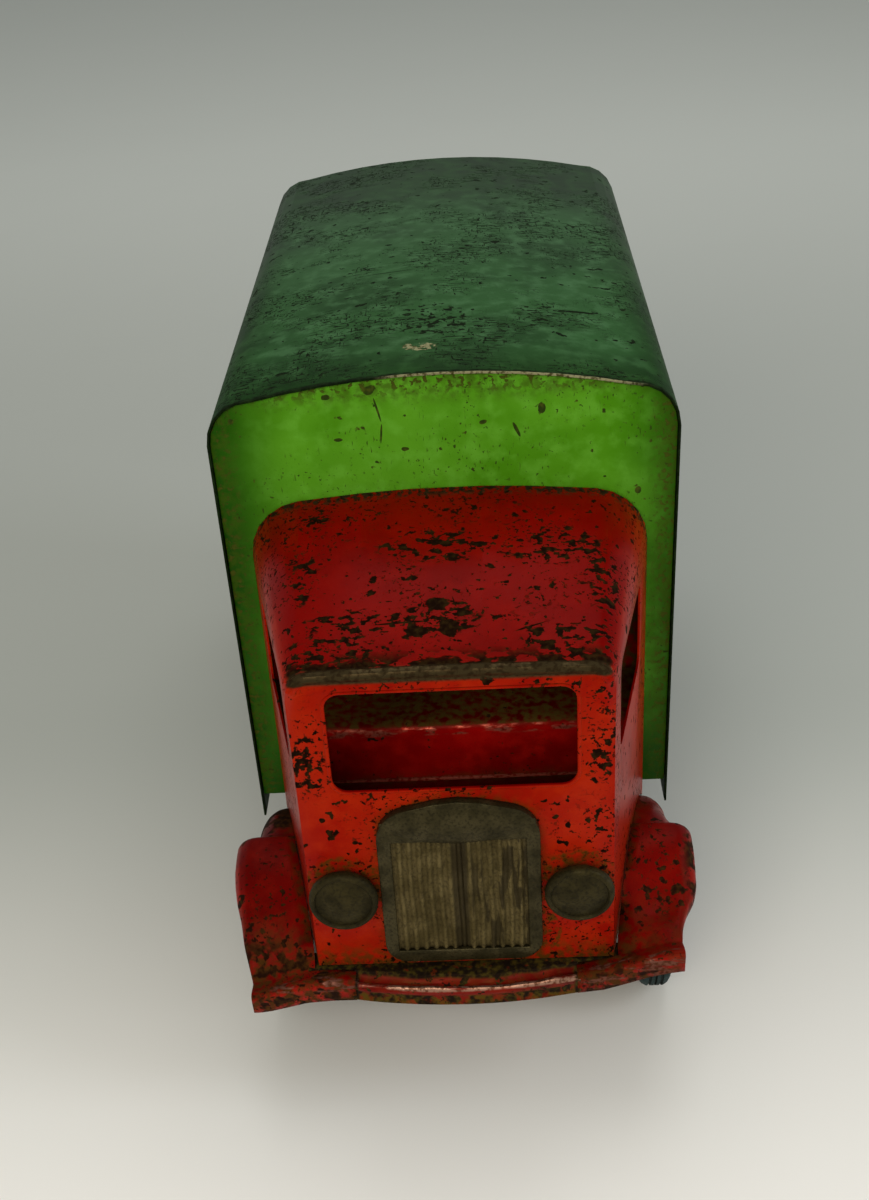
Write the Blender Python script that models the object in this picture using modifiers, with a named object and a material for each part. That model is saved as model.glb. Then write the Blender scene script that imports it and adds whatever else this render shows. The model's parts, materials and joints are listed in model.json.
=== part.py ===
"""Pressed-steel toy tipping lorry with a closed, round-shouldered body.

The lorry stands on the plane z = 0, its nose points to -Y and +X is its right-hand side
as seen from the front. The origin is the middle of its footprint. Lengths are in metres.
"""
import math

import bmesh
import bpy

MM = 0.001

# Sheet and fits
SHEET = 0.8 * MM                # gauge of every pressing
SEAT_GAP = 0.3 * MM             # between pieces that sit against each other
RUNNING_GAP = 0.08 * MM         # radial clearance of a shaft in its hole
DOOR_GAP = 0.5 * MM             # around the tailgate

# Tipping body
BODY_WIDTH = 170.0 * MM
BODY_LENGTH = 271.0 * MM
BODY_FLOOR_HEIGHT = 68.3 * MM   # foot of the front panel above the ground
BODY_WALL_HEIGHT = 177.2 * MM   # from there to the edge of the roof
ROOF_CROWN = 7.4 * MM
SHOULDER_RADIUS = 17.0 * MM
SIDE_TUCK = 1.4 * MM            # how far each side leans in at its foot
SKIRT_DROP = 10.4 * MM          # how far the sides hang below the panel
PANEL_INSET = 1.2 * MM
PANEL_FLANGE = 6.0 * MM
DOOR_FLANGE = 9.0 * MM
DOOR_PIVOT_DROP = 21.5 * MM     # tailgate pivots, below the edge of the roof
DOOR_PIVOT_INSET = 5.0 * MM     # and in from the rear edge
DOOR_PIVOT_RADIUS = 1.6 * MM
DOOR_TOP_MARGIN = 5.5 * MM      # tailgate above its pivots
DOOR_OVERLAP = 3.0 * MM         # tailgate below the floor

# Cab
CAB_SPACE = 1.0 * MM            # between the cab and the body
CAB_LENGTH = 87.2 * MM
CAB_INSET = 11.5 * MM           # each side of the cab's rear, in from the body's side
CAB_TAPER = 39.0 * MM           # by which the cab is narrower at its face
CAB_FOOT_HEIGHT = 58.5 * MM
CAB_REAR_HEIGHT = 208.5 * MM
CAB_FRONT_HEIGHT = 187.2 * MM
CAB_REAR_SHOULDER = 22.0 * MM
CAB_FRONT_SHOULDER = 7.0 * MM
CAB_REAR_CROWN = 3.0 * MM
CAB_FRONT_CROWN = 0.8 * MM
CAB_CORNER_RADIUS = 4.5 * MM
ROOF_BEAD_RADIUS = 2.2 * MM
PILLAR_WIDTH = 12.0 * MM        # beside the windscreen
WINDSCREEN_SILL = 138.5 * MM
WINDSCREEN_TOP = 179.5 * MM
WINDSCREEN_CORNER = 6.0 * MM
SIDE_WINDOW_SILL = 141.5 * MM
SIDE_WINDOW_TOP = 177.0 * MM
SIDE_WINDOW_FRONT = 14.0 * MM   # from the cab's face
SIDE_WINDOW_REAR = 19.2 * MM    # from the cab's rear edge
SIDE_WINDOW_CORNER = 5.0 * MM
SEAT_HEIGHT = 127.0 * MM
SEAT_DEPTH = 33.0 * MM
SEAT_FRONT_RADIUS = 4.0 * MM
CAB_SOLE_HEIGHT = 101.5 * MM    # floor in front of the seat
SEAT_BACK_TOP = 184.0 * MM

# Radiator grille and headlamps
GRILLE_SPACE = 0.9 * MM         # between the grille and each lamp
GRILLE_FOOT = 62.5 * MM
GRILLE_TOP = 132.6 * MM
GRILLE_CROWN = 3.0 * MM
GRILLE_TOP_CORNER = 13.0 * MM
GRILLE_FOOT_CORNER = 8.5 * MM
GRILLE_DEPTH = 3.6 * MM
GRILLE_BORDER = 4.8 * MM        # of the surround, each side of the core
CORE_FOOT = 68.0 * MM
CORE_TOP = 118.6 * MM
CORE_DEPTH = 2.4 * MM
RIB_COUNT = 13
RIB_DEPTH = 1.0 * MM
LAMP_RADIUS = 12.3 * MM
LAMP_INSET = 12.5 * MM          # middle of each lamp, in from the face's edge
LAMP_HEIGHT = 94.5 * MM
LAMP_STANDOFF = 1.8 * MM
LAMP_DEPTH = 5.6 * MM
LAMP_STEM_RADIUS = 4.0 * MM

# Wheels and axles
TYRE_RADIUS = 33.0 * MM
TYRE_WIDTH = 14.0 * MM
TYRE_SHOULDER = 5.0 * MM
RIM_RADIUS = 22.5 * MM
RIM_WALL = 1.6 * MM
RIM_WIDTH = 12.0 * MM
WHEEL_DISC = 1.4 * MM
HUB_RADIUS = 6.0 * MM
HUB_LENGTH = 15.0 * MM
TYRE_INSET = 4.8 * MM           # tyre's outer face, in from the body's side
TYRE_HEADROOM = 2.3 * MM        # between a tyre and the front panel's foot
AXLE_RADIUS = 2.4 * MM
AXLE_COLLAR_RADIUS = 3.4 * MM
AXLE_COLLAR_WIDTH = 1.0 * MM
AXLE_END = 0.6 * MM             # axle beyond the inside of its cap
CAP_RADIUS = 5.0 * MM
CAP_DEPTH = 2.2 * MM
FRONT_AXLE_LEAD = 32.8 * MM     # ahead of the body
REAR_AXLE_INSET = 70.0 * MM     # ahead of the body's rear edge

# Wings, mudguards and bumper
WING_OVERHANG = 3.3 * MM        # beyond the body's side
WING_TAPER = 9.3 * MM           # by which each wing is narrower at the bumper
WING_SHOULDER = 9.0 * MM
WING_SKIRT = 4.0 * MM
CREST_LEAD = 8.4 * MM           # top of each wing, ahead of the axle
WING_CREST_HEIGHT = 81.0 * MM
WING_TOE_HEIGHT = 57.3 * MM
GUARD_SPACE = 10.0 * MM         # round the tyre
GUARD_INSET = 3.2 * MM          # in from the body's side
GUARD_SHOULDER = 10.0 * MM
GUARD_LIP = 1.2 * MM
GUARD_FRONT_ANGLE = -6.0        # degrees ahead of the axle, from the top
GUARD_REAR_ANGLE = 84.0
BUMPER_HALF_LENGTH = 40.0 * MM
BUMPER_REACH = 13.1 * MM        # ahead of the cab's face, in the middle
BUMPER_BOW = 4.0 * MM
BUMPER_HEIGHT = 58.5 * MM
BUMPER_ROLL = 2.4 * MM
BUMPER_FLANGE = 7.5 * MM

# Chassis
RAIL_HEIGHT = 17.0 * MM
RAIL_WEB_HALF_SPAN = 22.0 * MM
RAIL_FLANGE = 8.0 * MM
RAIL_SHEET = 1.2 * MM
RAIL_FRONT_SETBACK = 6.0 * MM   # behind the cab's face
RAIL_SWING_GAP = 0.6 * MM       # between the rail's rear end and the tipping floor
CROSSMEMBER_WIDTH = 14.0 * MM
HANGER_SHEET = 1.5 * MM
HANGER_TOP_WIDTH = 36.0 * MM
HANGER_FOOT_RADIUS = 7.0 * MM
HINGE_INSET = 15.0 * MM         # tipping hinge, ahead of the body's rear edge
HINGE_DROP = 17.5 * MM          # and below the front panel's foot
HINGE_PIN_RADIUS = 2.0 * MM
HINGE_HEAD_RADIUS = 3.6 * MM
HINGE_HEAD_WIDTH = 1.4 * MM
LUG_LENGTH = 20.0 * MM
LUG_FLANGE = 11.0 * MM

# Widths that follow from the body's, from the outside in
CAB_REAR_WIDTH = BODY_WIDTH - 2 * CAB_INSET
CAB_FRONT_WIDTH = CAB_REAR_WIDTH - CAB_TAPER
WINDSCREEN_WIDTH = CAB_FRONT_WIDTH - 2 * PILLAR_WIDTH
LAMP_SPACING = CAB_FRONT_WIDTH - 2 * LAMP_INSET
GRILLE_WIDTH = LAMP_SPACING - 2 * LAMP_RADIUS - 2 * GRILLE_SPACE
CORE_WIDTH = GRILLE_WIDTH - 2 * GRILLE_BORDER
WHEEL_TRACK = BODY_WIDTH - 2 * TYRE_INSET - TYRE_WIDTH
WING_HALF_WIDTH = BODY_WIDTH / 2 + WING_OVERHANG
WING_FOOT_HALF_WIDTH = WING_HALF_WIDTH - WING_TAPER
GUARD_RADIUS = TYRE_RADIUS + GUARD_SPACE
GUARD_HALF_WIDTH = BODY_WIDTH / 2 - GUARD_INSET

# Places that follow from the sizes above
SIDE_WINDOW_LENGTH = CAB_LENGTH - SIDE_WINDOW_FRONT - SIDE_WINDOW_REAR
LENGTH = BUMPER_REACH + CAB_LENGTH + CAB_SPACE + BODY_LENGTH
BODY_REAR_Y = LENGTH / 2
BODY_FRONT_Y = BODY_REAR_Y - BODY_LENGTH
CAB_REAR_Y = BODY_FRONT_Y - CAB_SPACE
CAB_FACE_Y = CAB_REAR_Y - CAB_LENGTH
ROOF_EDGE_Z = BODY_FLOOR_HEIGHT + BODY_WALL_HEIGHT
SKIRT_FOOT_Z = BODY_FLOOR_HEIGHT - SKIRT_DROP
FLOOR_Z = BODY_FLOOR_HEIGHT + SHEET + SEAT_GAP
RAIL_TOP_Z = BODY_FLOOR_HEIGHT - 2 * SEAT_GAP
RAIL_FOOT_Z = RAIL_TOP_Z - RAIL_HEIGHT
AXLE_Z = BODY_FLOOR_HEIGHT - TYRE_HEADROOM - TYRE_RADIUS
GROUND_Z = AXLE_Z - TYRE_RADIUS
FRONT_AXLE_Y = BODY_FRONT_Y - FRONT_AXLE_LEAD
WING_CREST_SETBACK = FRONT_AXLE_Y - CREST_LEAD - CAB_FACE_Y
REAR_AXLE_Y = BODY_REAR_Y - REAR_AXLE_INSET
HINGE_Y = BODY_REAR_Y - HINGE_INSET
HINGE_Z = BODY_FLOOR_HEIGHT - HINGE_DROP
RAIL_SWING = FLOOR_Z - HINGE_Z - RAIL_SWING_GAP
RAIL_REAR_Y = HINGE_Y + math.sqrt(RAIL_SWING ** 2 - (RAIL_TOP_Z - HINGE_Z) ** 2)
DOOR_PIVOT_Y = BODY_REAR_Y - DOOR_PIVOT_INSET
DOOR_PIVOT_Z = ROOF_EDGE_Z - DOOR_PIVOT_DROP
DOOR_FACE_Y = BODY_REAR_Y - SHEET
HUB_OUTER_X = WHEEL_TRACK / 2 + HUB_LENGTH / 2
ROUND_STEPS = 32


def clear_scene():
    for obj in list(bpy.data.objects):
        bpy.data.objects.remove(obj, do_unlink=True)


def new_collection(name):
    collection = bpy.data.collections.new(name)
    bpy.context.scene.collection.children.link(collection)
    return collection


def make_material(name, colour, roughness, metallic=0.0):
    material = bpy.data.materials.new(name)
    material.use_nodes = True
    shader = material.node_tree.nodes["Principled BSDF"]
    shader.inputs["Base Color"].default_value = (*colour, 1.0)
    shader.inputs["Roughness"].default_value = roughness
    shader.inputs["Metallic"].default_value = metallic
    material.diffuse_color = (*colour, 1.0)
    return material


def keep(obj, name, finish):
    """Name a finished piece, give it its own material and file it with the lorry's parts."""
    colour, roughness, metallic = finish
    obj.name = name
    obj.data.name = name
    obj.data.materials.clear()
    obj.data.materials.append(make_material(name, colour, roughness, metallic))
    for collection in list(obj.users_collection):
        collection.objects.unlink(obj)
    PARTS.objects.link(obj)
    return obj


def keep_cutter(obj, name):
    obj.name = name
    obj.hide_render = True
    obj.display_type = "WIRE"
    for collection in list(obj.users_collection):
        collection.objects.unlink(obj)
    CUTTERS.objects.link(obj)
    return obj


def mesh_object(name, mesh):
    obj = bpy.data.objects.new(name, mesh)
    bpy.context.scene.collection.objects.link(obj)
    return obj


def arc(centre, radius, start, end, steps):
    """Points on a circle, from one angle to another in degrees."""
    points = []
    for step in range(steps + 1):
        angle = math.radians(start + (end - start) * step / steps)
        x = centre[0] + radius * math.cos(angle)
        y = centre[1] + radius * math.sin(angle)
        points.append((x, y))
    return points


def rounded_rectangle(left, right, foot, top, radius, steps=5):
    points = []
    points += arc((right - radius, foot + radius), radius, -90, 0, steps)
    points += arc((right - radius, top - radius), radius, 0, 90, steps)
    points += arc((left + radius, top - radius), radius, 90, 180, steps)
    points += arc((left + radius, foot + radius), radius, 180, 270, steps)
    return points


def flat_curve(outlines, thickness):
    """A flat piece from closed outlines, where an outline inside another is a hole."""
    curve = bpy.data.curves.new("outline", "CURVE")
    curve.dimensions = "2D"
    curve.fill_mode = "BOTH"
    curve.extrude = thickness / 2
    for outline in outlines:
        spline = curve.splines.new("POLY")
        spline.points.add(len(outline) - 1)
        for point, (x, y) in zip(spline.points, outline):
            point.co = (x, y, 0.0, 1.0)
        spline.use_cyclic_u = True
    obj = bpy.data.objects.new("outline", curve)
    bpy.context.scene.collection.objects.link(obj)
    return obj


def stand_across(obj, y):
    """Turn a flat piece so that its outline is (x, z) and its thickness runs along y."""
    obj.rotation_euler = (math.pi / 2, 0.0, 0.0)
    obj.location = (0.0, y, 0.0)


def stand_lengthways(obj, x):
    """Turn a flat piece so that its outline is (y, z) and its thickness runs along x."""
    obj.rotation_euler = (math.pi / 2, 0.0, math.pi / 2)
    obj.location = (x, 0.0, 0.0)


def mesh_from_curve(obj):
    """Replace a curve by a closed mesh, so that it can be cut or cut others."""
    bpy.context.view_layer.update()
    evaluated = obj.evaluated_get(bpy.context.evaluated_depsgraph_get())
    mesh = bpy.data.meshes.new_from_object(evaluated)
    cage = bmesh.new()
    cage.from_mesh(mesh)
    bmesh.ops.remove_doubles(cage, verts=cage.verts, dist=0.000001)
    cage.to_mesh(mesh)
    cage.free()
    solid = mesh_object("solid", mesh)
    solid.matrix_world = obj.matrix_world.copy()
    bpy.data.objects.remove(obj, do_unlink=True)
    return solid


def box(width, length, height, centre):
    bpy.ops.mesh.primitive_cube_add(size=1.0, location=centre)
    obj = bpy.context.object
    obj.scale = (width, length, height)
    bpy.ops.object.transform_apply(location=False, rotation=False, scale=True)
    return obj


def rod(radius, length, centre, steps=ROUND_STEPS):
    """A plain rod along x."""
    bpy.ops.mesh.primitive_cylinder_add(vertices=steps, radius=radius, depth=length, location=centre)
    obj = bpy.context.object
    obj.rotation_euler = (0.0, math.pi / 2, 0.0)
    return obj


def turned(profile, closed, steps=ROUND_STEPS):
    """Turn a profile of (radius, height) about local z; its outer side runs from top to bottom."""
    mesh = bpy.data.meshes.new("turned")
    points = [(radius, 0.0, height) for radius, height in profile]
    edges = [(index, index + 1) for index in range(len(points) - 1)]
    if closed:
        edges.append((len(points) - 1, 0))
    mesh.from_pydata(points, edges, [])
    obj = mesh_object("turned", mesh)
    screw = obj.modifiers.new("Turn", "SCREW")
    screw.axis = "Z"
    screw.angle = math.tau
    screw.steps = steps
    screw.render_steps = steps
    screw.use_merge_vertices = True
    screw.merge_threshold = 0.00001
    screw.use_smooth_shade = True
    return obj


def cut(target, cutter):
    boolean = target.modifiers.new("Cut", "BOOLEAN")
    boolean.operation = "DIFFERENCE"
    boolean.solver = "EXACT"
    boolean.object = cutter


def join(target, addition):
    boolean = target.modifiers.new("Join", "BOOLEAN")
    boolean.operation = "UNION"
    boolean.solver = "EXACT"
    boolean.object = addition


def thicken(obj, thickness):
    solidify = obj.modifiers.new("Sheet", "SOLIDIFY")
    solidify.thickness = thickness
    solidify.offset = -1.0
    solidify.use_even_offset = True


def loft(sections):
    """An open sheet through sections of points; it faces along (point step) x (section step)."""
    mesh = bpy.data.meshes.new("loft")
    count = len(sections[0])
    points = [point for section in sections for point in section]
    faces = []
    for row in range(len(sections) - 1):
        for column in range(count - 1):
            first = row * count + column
            faces.append((first, first + 1, first + count + 1, first + count))
    mesh.from_pydata(points, [], faces)
    obj = mesh_object("loft", mesh)
    soften(obj)
    return obj


def soften(obj):
    obj.data.shade_smooth()
    obj.data.set_sharp_from_angle(angle=math.radians(35))


def both_sides(sections, side):
    """The same sheet for the right (side 1) or the left (side -1), facing outwards on both."""
    if side > 0:
        return sections
    return [[(-x, y, z) for x, y, z in reversed(section)] for section in sections]


def tray(outline, depth):
    """A plate in (x, z) at y = 0 with a flange all round, turned to y = depth."""
    mesh = bpy.data.meshes.new("tray")
    cage = bmesh.new()
    corners = [cage.verts.new((x, 0.0, z)) for x, z in outline]
    plate = cage.faces.new(corners)
    rim = bmesh.ops.extrude_edge_only(cage, edges=plate.edges[:])
    turned_over = [item for item in rim["geom"] if isinstance(item, bmesh.types.BMVert)]
    bmesh.ops.translate(cage, verts=turned_over, vec=(0.0, depth, 0.0))
    bmesh.ops.recalc_face_normals(cage, faces=cage.faces[:])
    cage.faces.ensure_lookup_table()
    plate = max(cage.faces, key=lambda face: len(face.verts))
    if plate.normal.y * depth > 0:
        bmesh.ops.reverse_faces(cage, faces=cage.faces[:])
    cage.to_mesh(mesh)
    cage.free()
    obj = mesh_object("tray", mesh)
    thicken(obj, SHEET)
    return obj


def body_half_width(z):
    """Outside of the body's side at a height below the shoulder."""
    shoulder_z = ROOF_EDGE_Z - SHOULDER_RADIUS
    lean = (shoulder_z - z) / (shoulder_z - SKIRT_FOOT_Z)
    return BODY_WIDTH / 2 - SIDE_TUCK * max(lean, 0.0)


def body_outline(foot, inset):
    """Left foot, over the crowned roof, right foot; inset moves the line inside the sheet."""
    radius = SHOULDER_RADIUS - inset
    centre_x = BODY_WIDTH / 2 - SHOULDER_RADIUS
    centre_z = ROOF_EDGE_Z - SHOULDER_RADIUS
    start = 0.0
    points = []
    if foot < centre_z:
        points.append((body_half_width(foot) - inset, foot))
    else:
        start = math.degrees(math.asin((foot - centre_z) / radius))
    points += arc((centre_x, centre_z), radius, start, 90, 5)
    crown_radius = (centre_x ** 2 + ROOF_CROWN ** 2) / (2 * ROOF_CROWN)
    half_angle = math.degrees(math.asin(centre_x / crown_radius))
    crown_centre = (0.0, ROOF_EDGE_Z + ROOF_CROWN - crown_radius)
    crown = arc(crown_centre, crown_radius - inset, 90 - half_angle, 90 + half_angle, 10)
    points += crown[1:-1]
    left = [(-x, z) for x, z in reversed(points[:points.index(crown[1])])]
    return list(reversed(points + left))


def make_body_shell():
    """Roof and both sides, bent from one sheet."""
    outline = body_outline(SKIRT_FOOT_Z, 0.0)
    ends = (BODY_FRONT_Y, BODY_REAR_Y)
    sections = [[(x, y, z) for x, z in outline] for y in ends]
    shell = loft(sections)
    thicken(shell, SHEET)
    pivots = rod(DOOR_PIVOT_RADIUS + SEAT_GAP / 2, 1.2 * BODY_WIDTH, (0.0, DOOR_PIVOT_Y, DOOR_PIVOT_Z))
    cut(shell, keep_cutter(pivots, "cut_shell_pivots"))
    keep(shell, "body_shell", DARK_GREEN)


def make_body_front():
    outline = body_outline(BODY_FLOOR_HEIGHT, SHEET + SEAT_GAP)
    panel = tray(outline, PANEL_FLANGE)
    panel.location.y = BODY_FRONT_Y + PANEL_INSET
    keep(panel, "body_front_panel", BRIGHT_GREEN)


def make_body_floor():
    half = body_half_width(BODY_FLOOR_HEIGHT) - 2 * SHEET - 2 * SEAT_GAP
    front = BODY_FRONT_Y + PANEL_INSET + SHEET + SEAT_GAP
    rear = DOOR_FACE_Y - SHEET - DOOR_GAP
    centre = (0.0, (front + rear) / 2, FLOOR_Z + SHEET / 2)
    floor = box(2 * half, rear - front, SHEET, centre)
    keep(floor, "body_floor", DARK_GREEN)


def make_rear_header():
    """The fixed panel above the tailgate."""
    swing = math.hypot(DOOR_TOP_MARGIN, DOOR_PIVOT_INSET)
    outline = body_outline(DOOR_PIVOT_Z + swing + DOOR_GAP, SHEET + SEAT_GAP)
    header = tray(outline, -PANEL_FLANGE)
    header.location.y = BODY_REAR_Y - PANEL_INSET
    keep(header, "body_rear_header", BRIGHT_GREEN)


def make_tailgate():
    """A door hung at its top, whose side flanges turn on two rivets in the body's sides."""
    foot = FLOOR_Z - DOOR_OVERLAP
    top = DOOR_PIVOT_Z + DOOR_TOP_MARGIN
    foot_half = body_half_width(foot) - SHEET - DOOR_GAP
    top_half = body_half_width(top) - SHEET - DOOR_GAP
    mesh = bpy.data.meshes.new("tailgate")
    cage = bmesh.new()
    front = -DOOR_FLANGE
    columns = [(-1, front), (-1, 0.0), (1, 0.0), (1, front)]
    lower = [cage.verts.new((side * foot_half, y, foot - DOOR_PIVOT_Z)) for side, y in columns]
    upper = [cage.verts.new((side * top_half, y, top - DOOR_PIVOT_Z)) for side, y in columns]
    for index in range(3):
        cage.faces.new((lower[index], upper[index], upper[index + 1], lower[index + 1]))
    cage.to_mesh(mesh)
    cage.free()
    door = mesh_object("tailgate", mesh)
    door.location = (0.0, DOOR_PIVOT_Y, DOOR_PIVOT_Z)
    for vertex in door.data.vertices:
        vertex.co.y += DOOR_FACE_Y - DOOR_PIVOT_Y
    thicken(door, SHEET)
    pivots = rod(DOOR_PIVOT_RADIUS + RUNNING_GAP, 1.2 * BODY_WIDTH, (0.0, DOOR_PIVOT_Y, DOOR_PIVOT_Z))
    cut(door, keep_cutter(pivots, "cut_tailgate_pivots"))
    keep(door, "tailgate", BRIGHT_GREEN)


def make_tailgate_pivots():
    """A rivet each side, with its head inside the tailgate's flange."""
    outer = body_half_width(DOOR_PIVOT_Z)
    inner = outer - 2 * SHEET - DOOR_GAP - 2 * SEAT_GAP
    head = DOOR_PIVOT_RADIUS * 1.8
    profile = [
        (0.0, inner - SHEET),
        (head, inner - SHEET),
        (head, inner),
        (DOOR_PIVOT_RADIUS, inner),
        (DOOR_PIVOT_RADIUS, outer - SEAT_GAP),
        (0.0, outer - SEAT_GAP),
    ]
    for side, name in ((-1, "tailgate_pivot_left"), (1, "tailgate_pivot_right")):
        rivet = turned(list(reversed(profile)), closed=False, steps=20)
        rivet.rotation_euler = (0.0, side * math.pi / 2, 0.0)
        rivet.location = (0.0, DOOR_PIVOT_Y, DOOR_PIVOT_Z)
        keep(rivet, name, BARE_STEEL)


def cab_half_width(y):
    """Outside of the cab's side at a place along it."""
    share = (y - CAB_FACE_Y) / CAB_LENGTH
    return (CAB_FRONT_WIDTH + (CAB_REAR_WIDTH - CAB_FRONT_WIDTH) * share) / 2


def cab_section(y):
    """The cab across, at a place along it: sides, shoulders and a slightly crowned roof."""
    share = (y - CAB_FACE_Y) / CAB_LENGTH
    half = cab_half_width(y)
    top = CAB_FRONT_HEIGHT + (CAB_REAR_HEIGHT - CAB_FRONT_HEIGHT) * share
    radius = CAB_FRONT_SHOULDER + (CAB_REAR_SHOULDER - CAB_FRONT_SHOULDER) * share
    crown = CAB_FRONT_CROWN + (CAB_REAR_CROWN - CAB_FRONT_CROWN) * share
    shoulder_z = top - crown
    right = [(half, CAB_FOOT_HEIGHT)]
    right += arc((half - radius, shoulder_z - radius), radius, 0, 82, 5)
    right.append(((half - radius) * 0.6, shoulder_z + crown * 0.64))
    right.append(((half - radius) * 0.25, top - crown * 0.06))
    left = [(-x, z) for x, z in reversed(right)]
    return [(x, y, z) for x, z in right + left]


def make_cab_block():
    """The cab's outside as a closed block, with a rounded edge round its face."""
    stations = [CAB_FACE_Y + CAB_LENGTH * share for share in (0.0, 0.2, 0.4, 0.6, 0.8, 1.0)]
    cage = bmesh.new()
    rings = []
    for y in stations:
        rings.append([cage.verts.new(point) for point in cab_section(y)])
    count = len(rings[0])
    for near, far in zip(rings, rings[1:]):
        for index in range(count):
            following = (index + 1) % count
            cage.faces.new((near[index], near[following], far[following], far[index]))
    face = cage.faces.new(rings[0])
    cage.faces.new(rings[-1])
    bmesh.ops.recalc_face_normals(cage, faces=cage.faces[:])
    front_edges = [edge for edge in face.edges if edge.calc_length() < 0.9 * CAB_FRONT_WIDTH]
    bmesh.ops.bevel(cage, geom=front_edges, offset=CAB_CORNER_RADIUS, segments=3, profile=0.5,
                    affect="EDGES", clamp_overlap=True)
    return cage


def make_cab_shell():
    """Roof, face and sides in one pressing, open at the back and underneath."""
    cage = make_cab_block()
    open_faces = [face for face in cage.faces if face.normal.z < -0.9 or face.normal.y > 0.9]
    bmesh.ops.delete(cage, geom=open_faces, context="FACES")
    mesh = bpy.data.meshes.new("cab")
    cage.to_mesh(mesh)
    cage.free()
    cab = mesh_object("cab", mesh)
    soften(cab)
    thicken(cab, SHEET)
    cut(cab, windscreen_cutter())
    cut(cab, side_window_cutter())
    cut(cab, wheel_arch_cutter())
    join(cab, roof_bead())
    keep(cab, "cab_shell", CAB_RED)


def windscreen_cutter():
    half = WINDSCREEN_WIDTH / 2
    outline = rounded_rectangle(-half, half, WINDSCREEN_SILL, WINDSCREEN_TOP, WINDSCREEN_CORNER)
    curve = flat_curve([outline], 4 * CAB_CORNER_RADIUS)
    stand_across(curve, CAB_FACE_Y)
    return keep_cutter(mesh_from_curve(curve), "cut_windscreen")


def side_window_cutter():
    front = CAB_FACE_Y + SIDE_WINDOW_FRONT
    rear = front + SIDE_WINDOW_LENGTH
    outline = rounded_rectangle(front, rear, SIDE_WINDOW_SILL, SIDE_WINDOW_TOP, SIDE_WINDOW_CORNER)
    curve = flat_curve([outline], 1.2 * CAB_REAR_WIDTH)
    stand_lengthways(curve, 0.0)
    return keep_cutter(mesh_from_curve(curve), "cut_side_windows")


def wheel_arch_cutter():
    radius = GUARD_RADIUS + SEAT_GAP
    arch = rod(radius, 1.2 * CAB_REAR_WIDTH, (0.0, FRONT_AXLE_Y, AXLE_Z), steps=48)
    return keep_cutter(arch, "cut_wheel_arches")


def roof_bead():
    """The rolled edge over the windscreen, which dips over the cab's corners."""
    section = [point for point in cab_section(CAB_FACE_Y) if point[2] > CAB_FRONT_HEIGHT - CAB_FRONT_SHOULDER]
    curve = bpy.data.curves.new("bead", "CURVE")
    curve.dimensions = "3D"
    curve.bevel_depth = ROOF_BEAD_RADIUS
    curve.bevel_resolution = 2
    curve.use_fill_caps = True
    spline = curve.splines.new("POLY")
    spline.points.add(len(section) - 1)
    for point, (x, y, z) in zip(spline.points, section):
        drop = CAB_CORNER_RADIUS * 0.5
        point.co = (x * 0.97, y + CAB_CORNER_RADIUS * 0.3, z - drop * 0.5, 1.0)
    obj = bpy.data.objects.new("bead", curve)
    bpy.context.scene.collection.objects.link(obj)
    return keep_cutter(mesh_from_curve(obj), "add_roof_bead")


def make_cab_seat():
    """Back wall, bench and floor in one pressing across the inside of the cab."""
    rear = CAB_REAR_Y - SHEET - SEAT_GAP
    edge = rear - SEAT_DEPTH
    radius = SEAT_FRONT_RADIUS
    path = [(rear, SEAT_BACK_TOP), (rear, SEAT_HEIGHT + radius)]
    path += arc((rear - radius, SEAT_HEIGHT + radius), radius, 0, -90, 3)[1:]
    path += arc((edge + radius, SEAT_HEIGHT - radius), radius, 90, 180, 4)
    path += [(edge, CAB_SOLE_HEIGHT), (CAB_FACE_Y + CAB_CORNER_RADIUS, CAB_SOLE_HEIGHT)]
    sections = []
    for y, z in path:
        half = cab_half_width(y) - 2 * SHEET - SEAT_GAP
        sections.append([(-half, y, z), (half, y, z)])
    seat = loft(sections)
    thicken(seat, SHEET)
    keep(seat, "cab_seat", INNER_RED)


def grille_outline(half, foot, top, foot_radius, top_radius, crown):
    """A tall outline with rounded feet and shoulders and an arched top."""
    points = arc((half - foot_radius, foot + foot_radius), foot_radius, -90, 0, 5)
    points += arc((half - top_radius, top - top_radius), top_radius, 0, 80, 6)
    points.append(((half - top_radius) * 0.5, top + crown * 0.75))
    points.append((0.0, top + crown))
    left = [(-x, z) for x, z in reversed(points[:-1])]
    return points + left


def make_grille_surround():
    outer = grille_outline(GRILLE_WIDTH / 2, GRILLE_FOOT, GRILLE_TOP, GRILLE_FOOT_CORNER,
                           GRILLE_TOP_CORNER, GRILLE_CROWN)
    half = CORE_WIDTH / 2
    hole = [(-half, CORE_FOOT), (half, CORE_FOOT), (half, CORE_TOP), (-half, CORE_TOP)]
    curve = flat_curve([outer, hole], GRILLE_DEPTH)
    stand_across(curve, CAB_FACE_Y - SEAT_GAP - GRILLE_DEPTH / 2)
    surround = mesh_from_curve(curve)
    bevel = surround.modifiers.new("Soft edge", "BEVEL")
    bevel.width = 1.2 * MM
    bevel.segments = 2
    bevel.limit_method = "ANGLE"
    bevel.angle_limit = math.radians(60)
    keep(surround, "grille_surround", DULL_STEEL)


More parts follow.
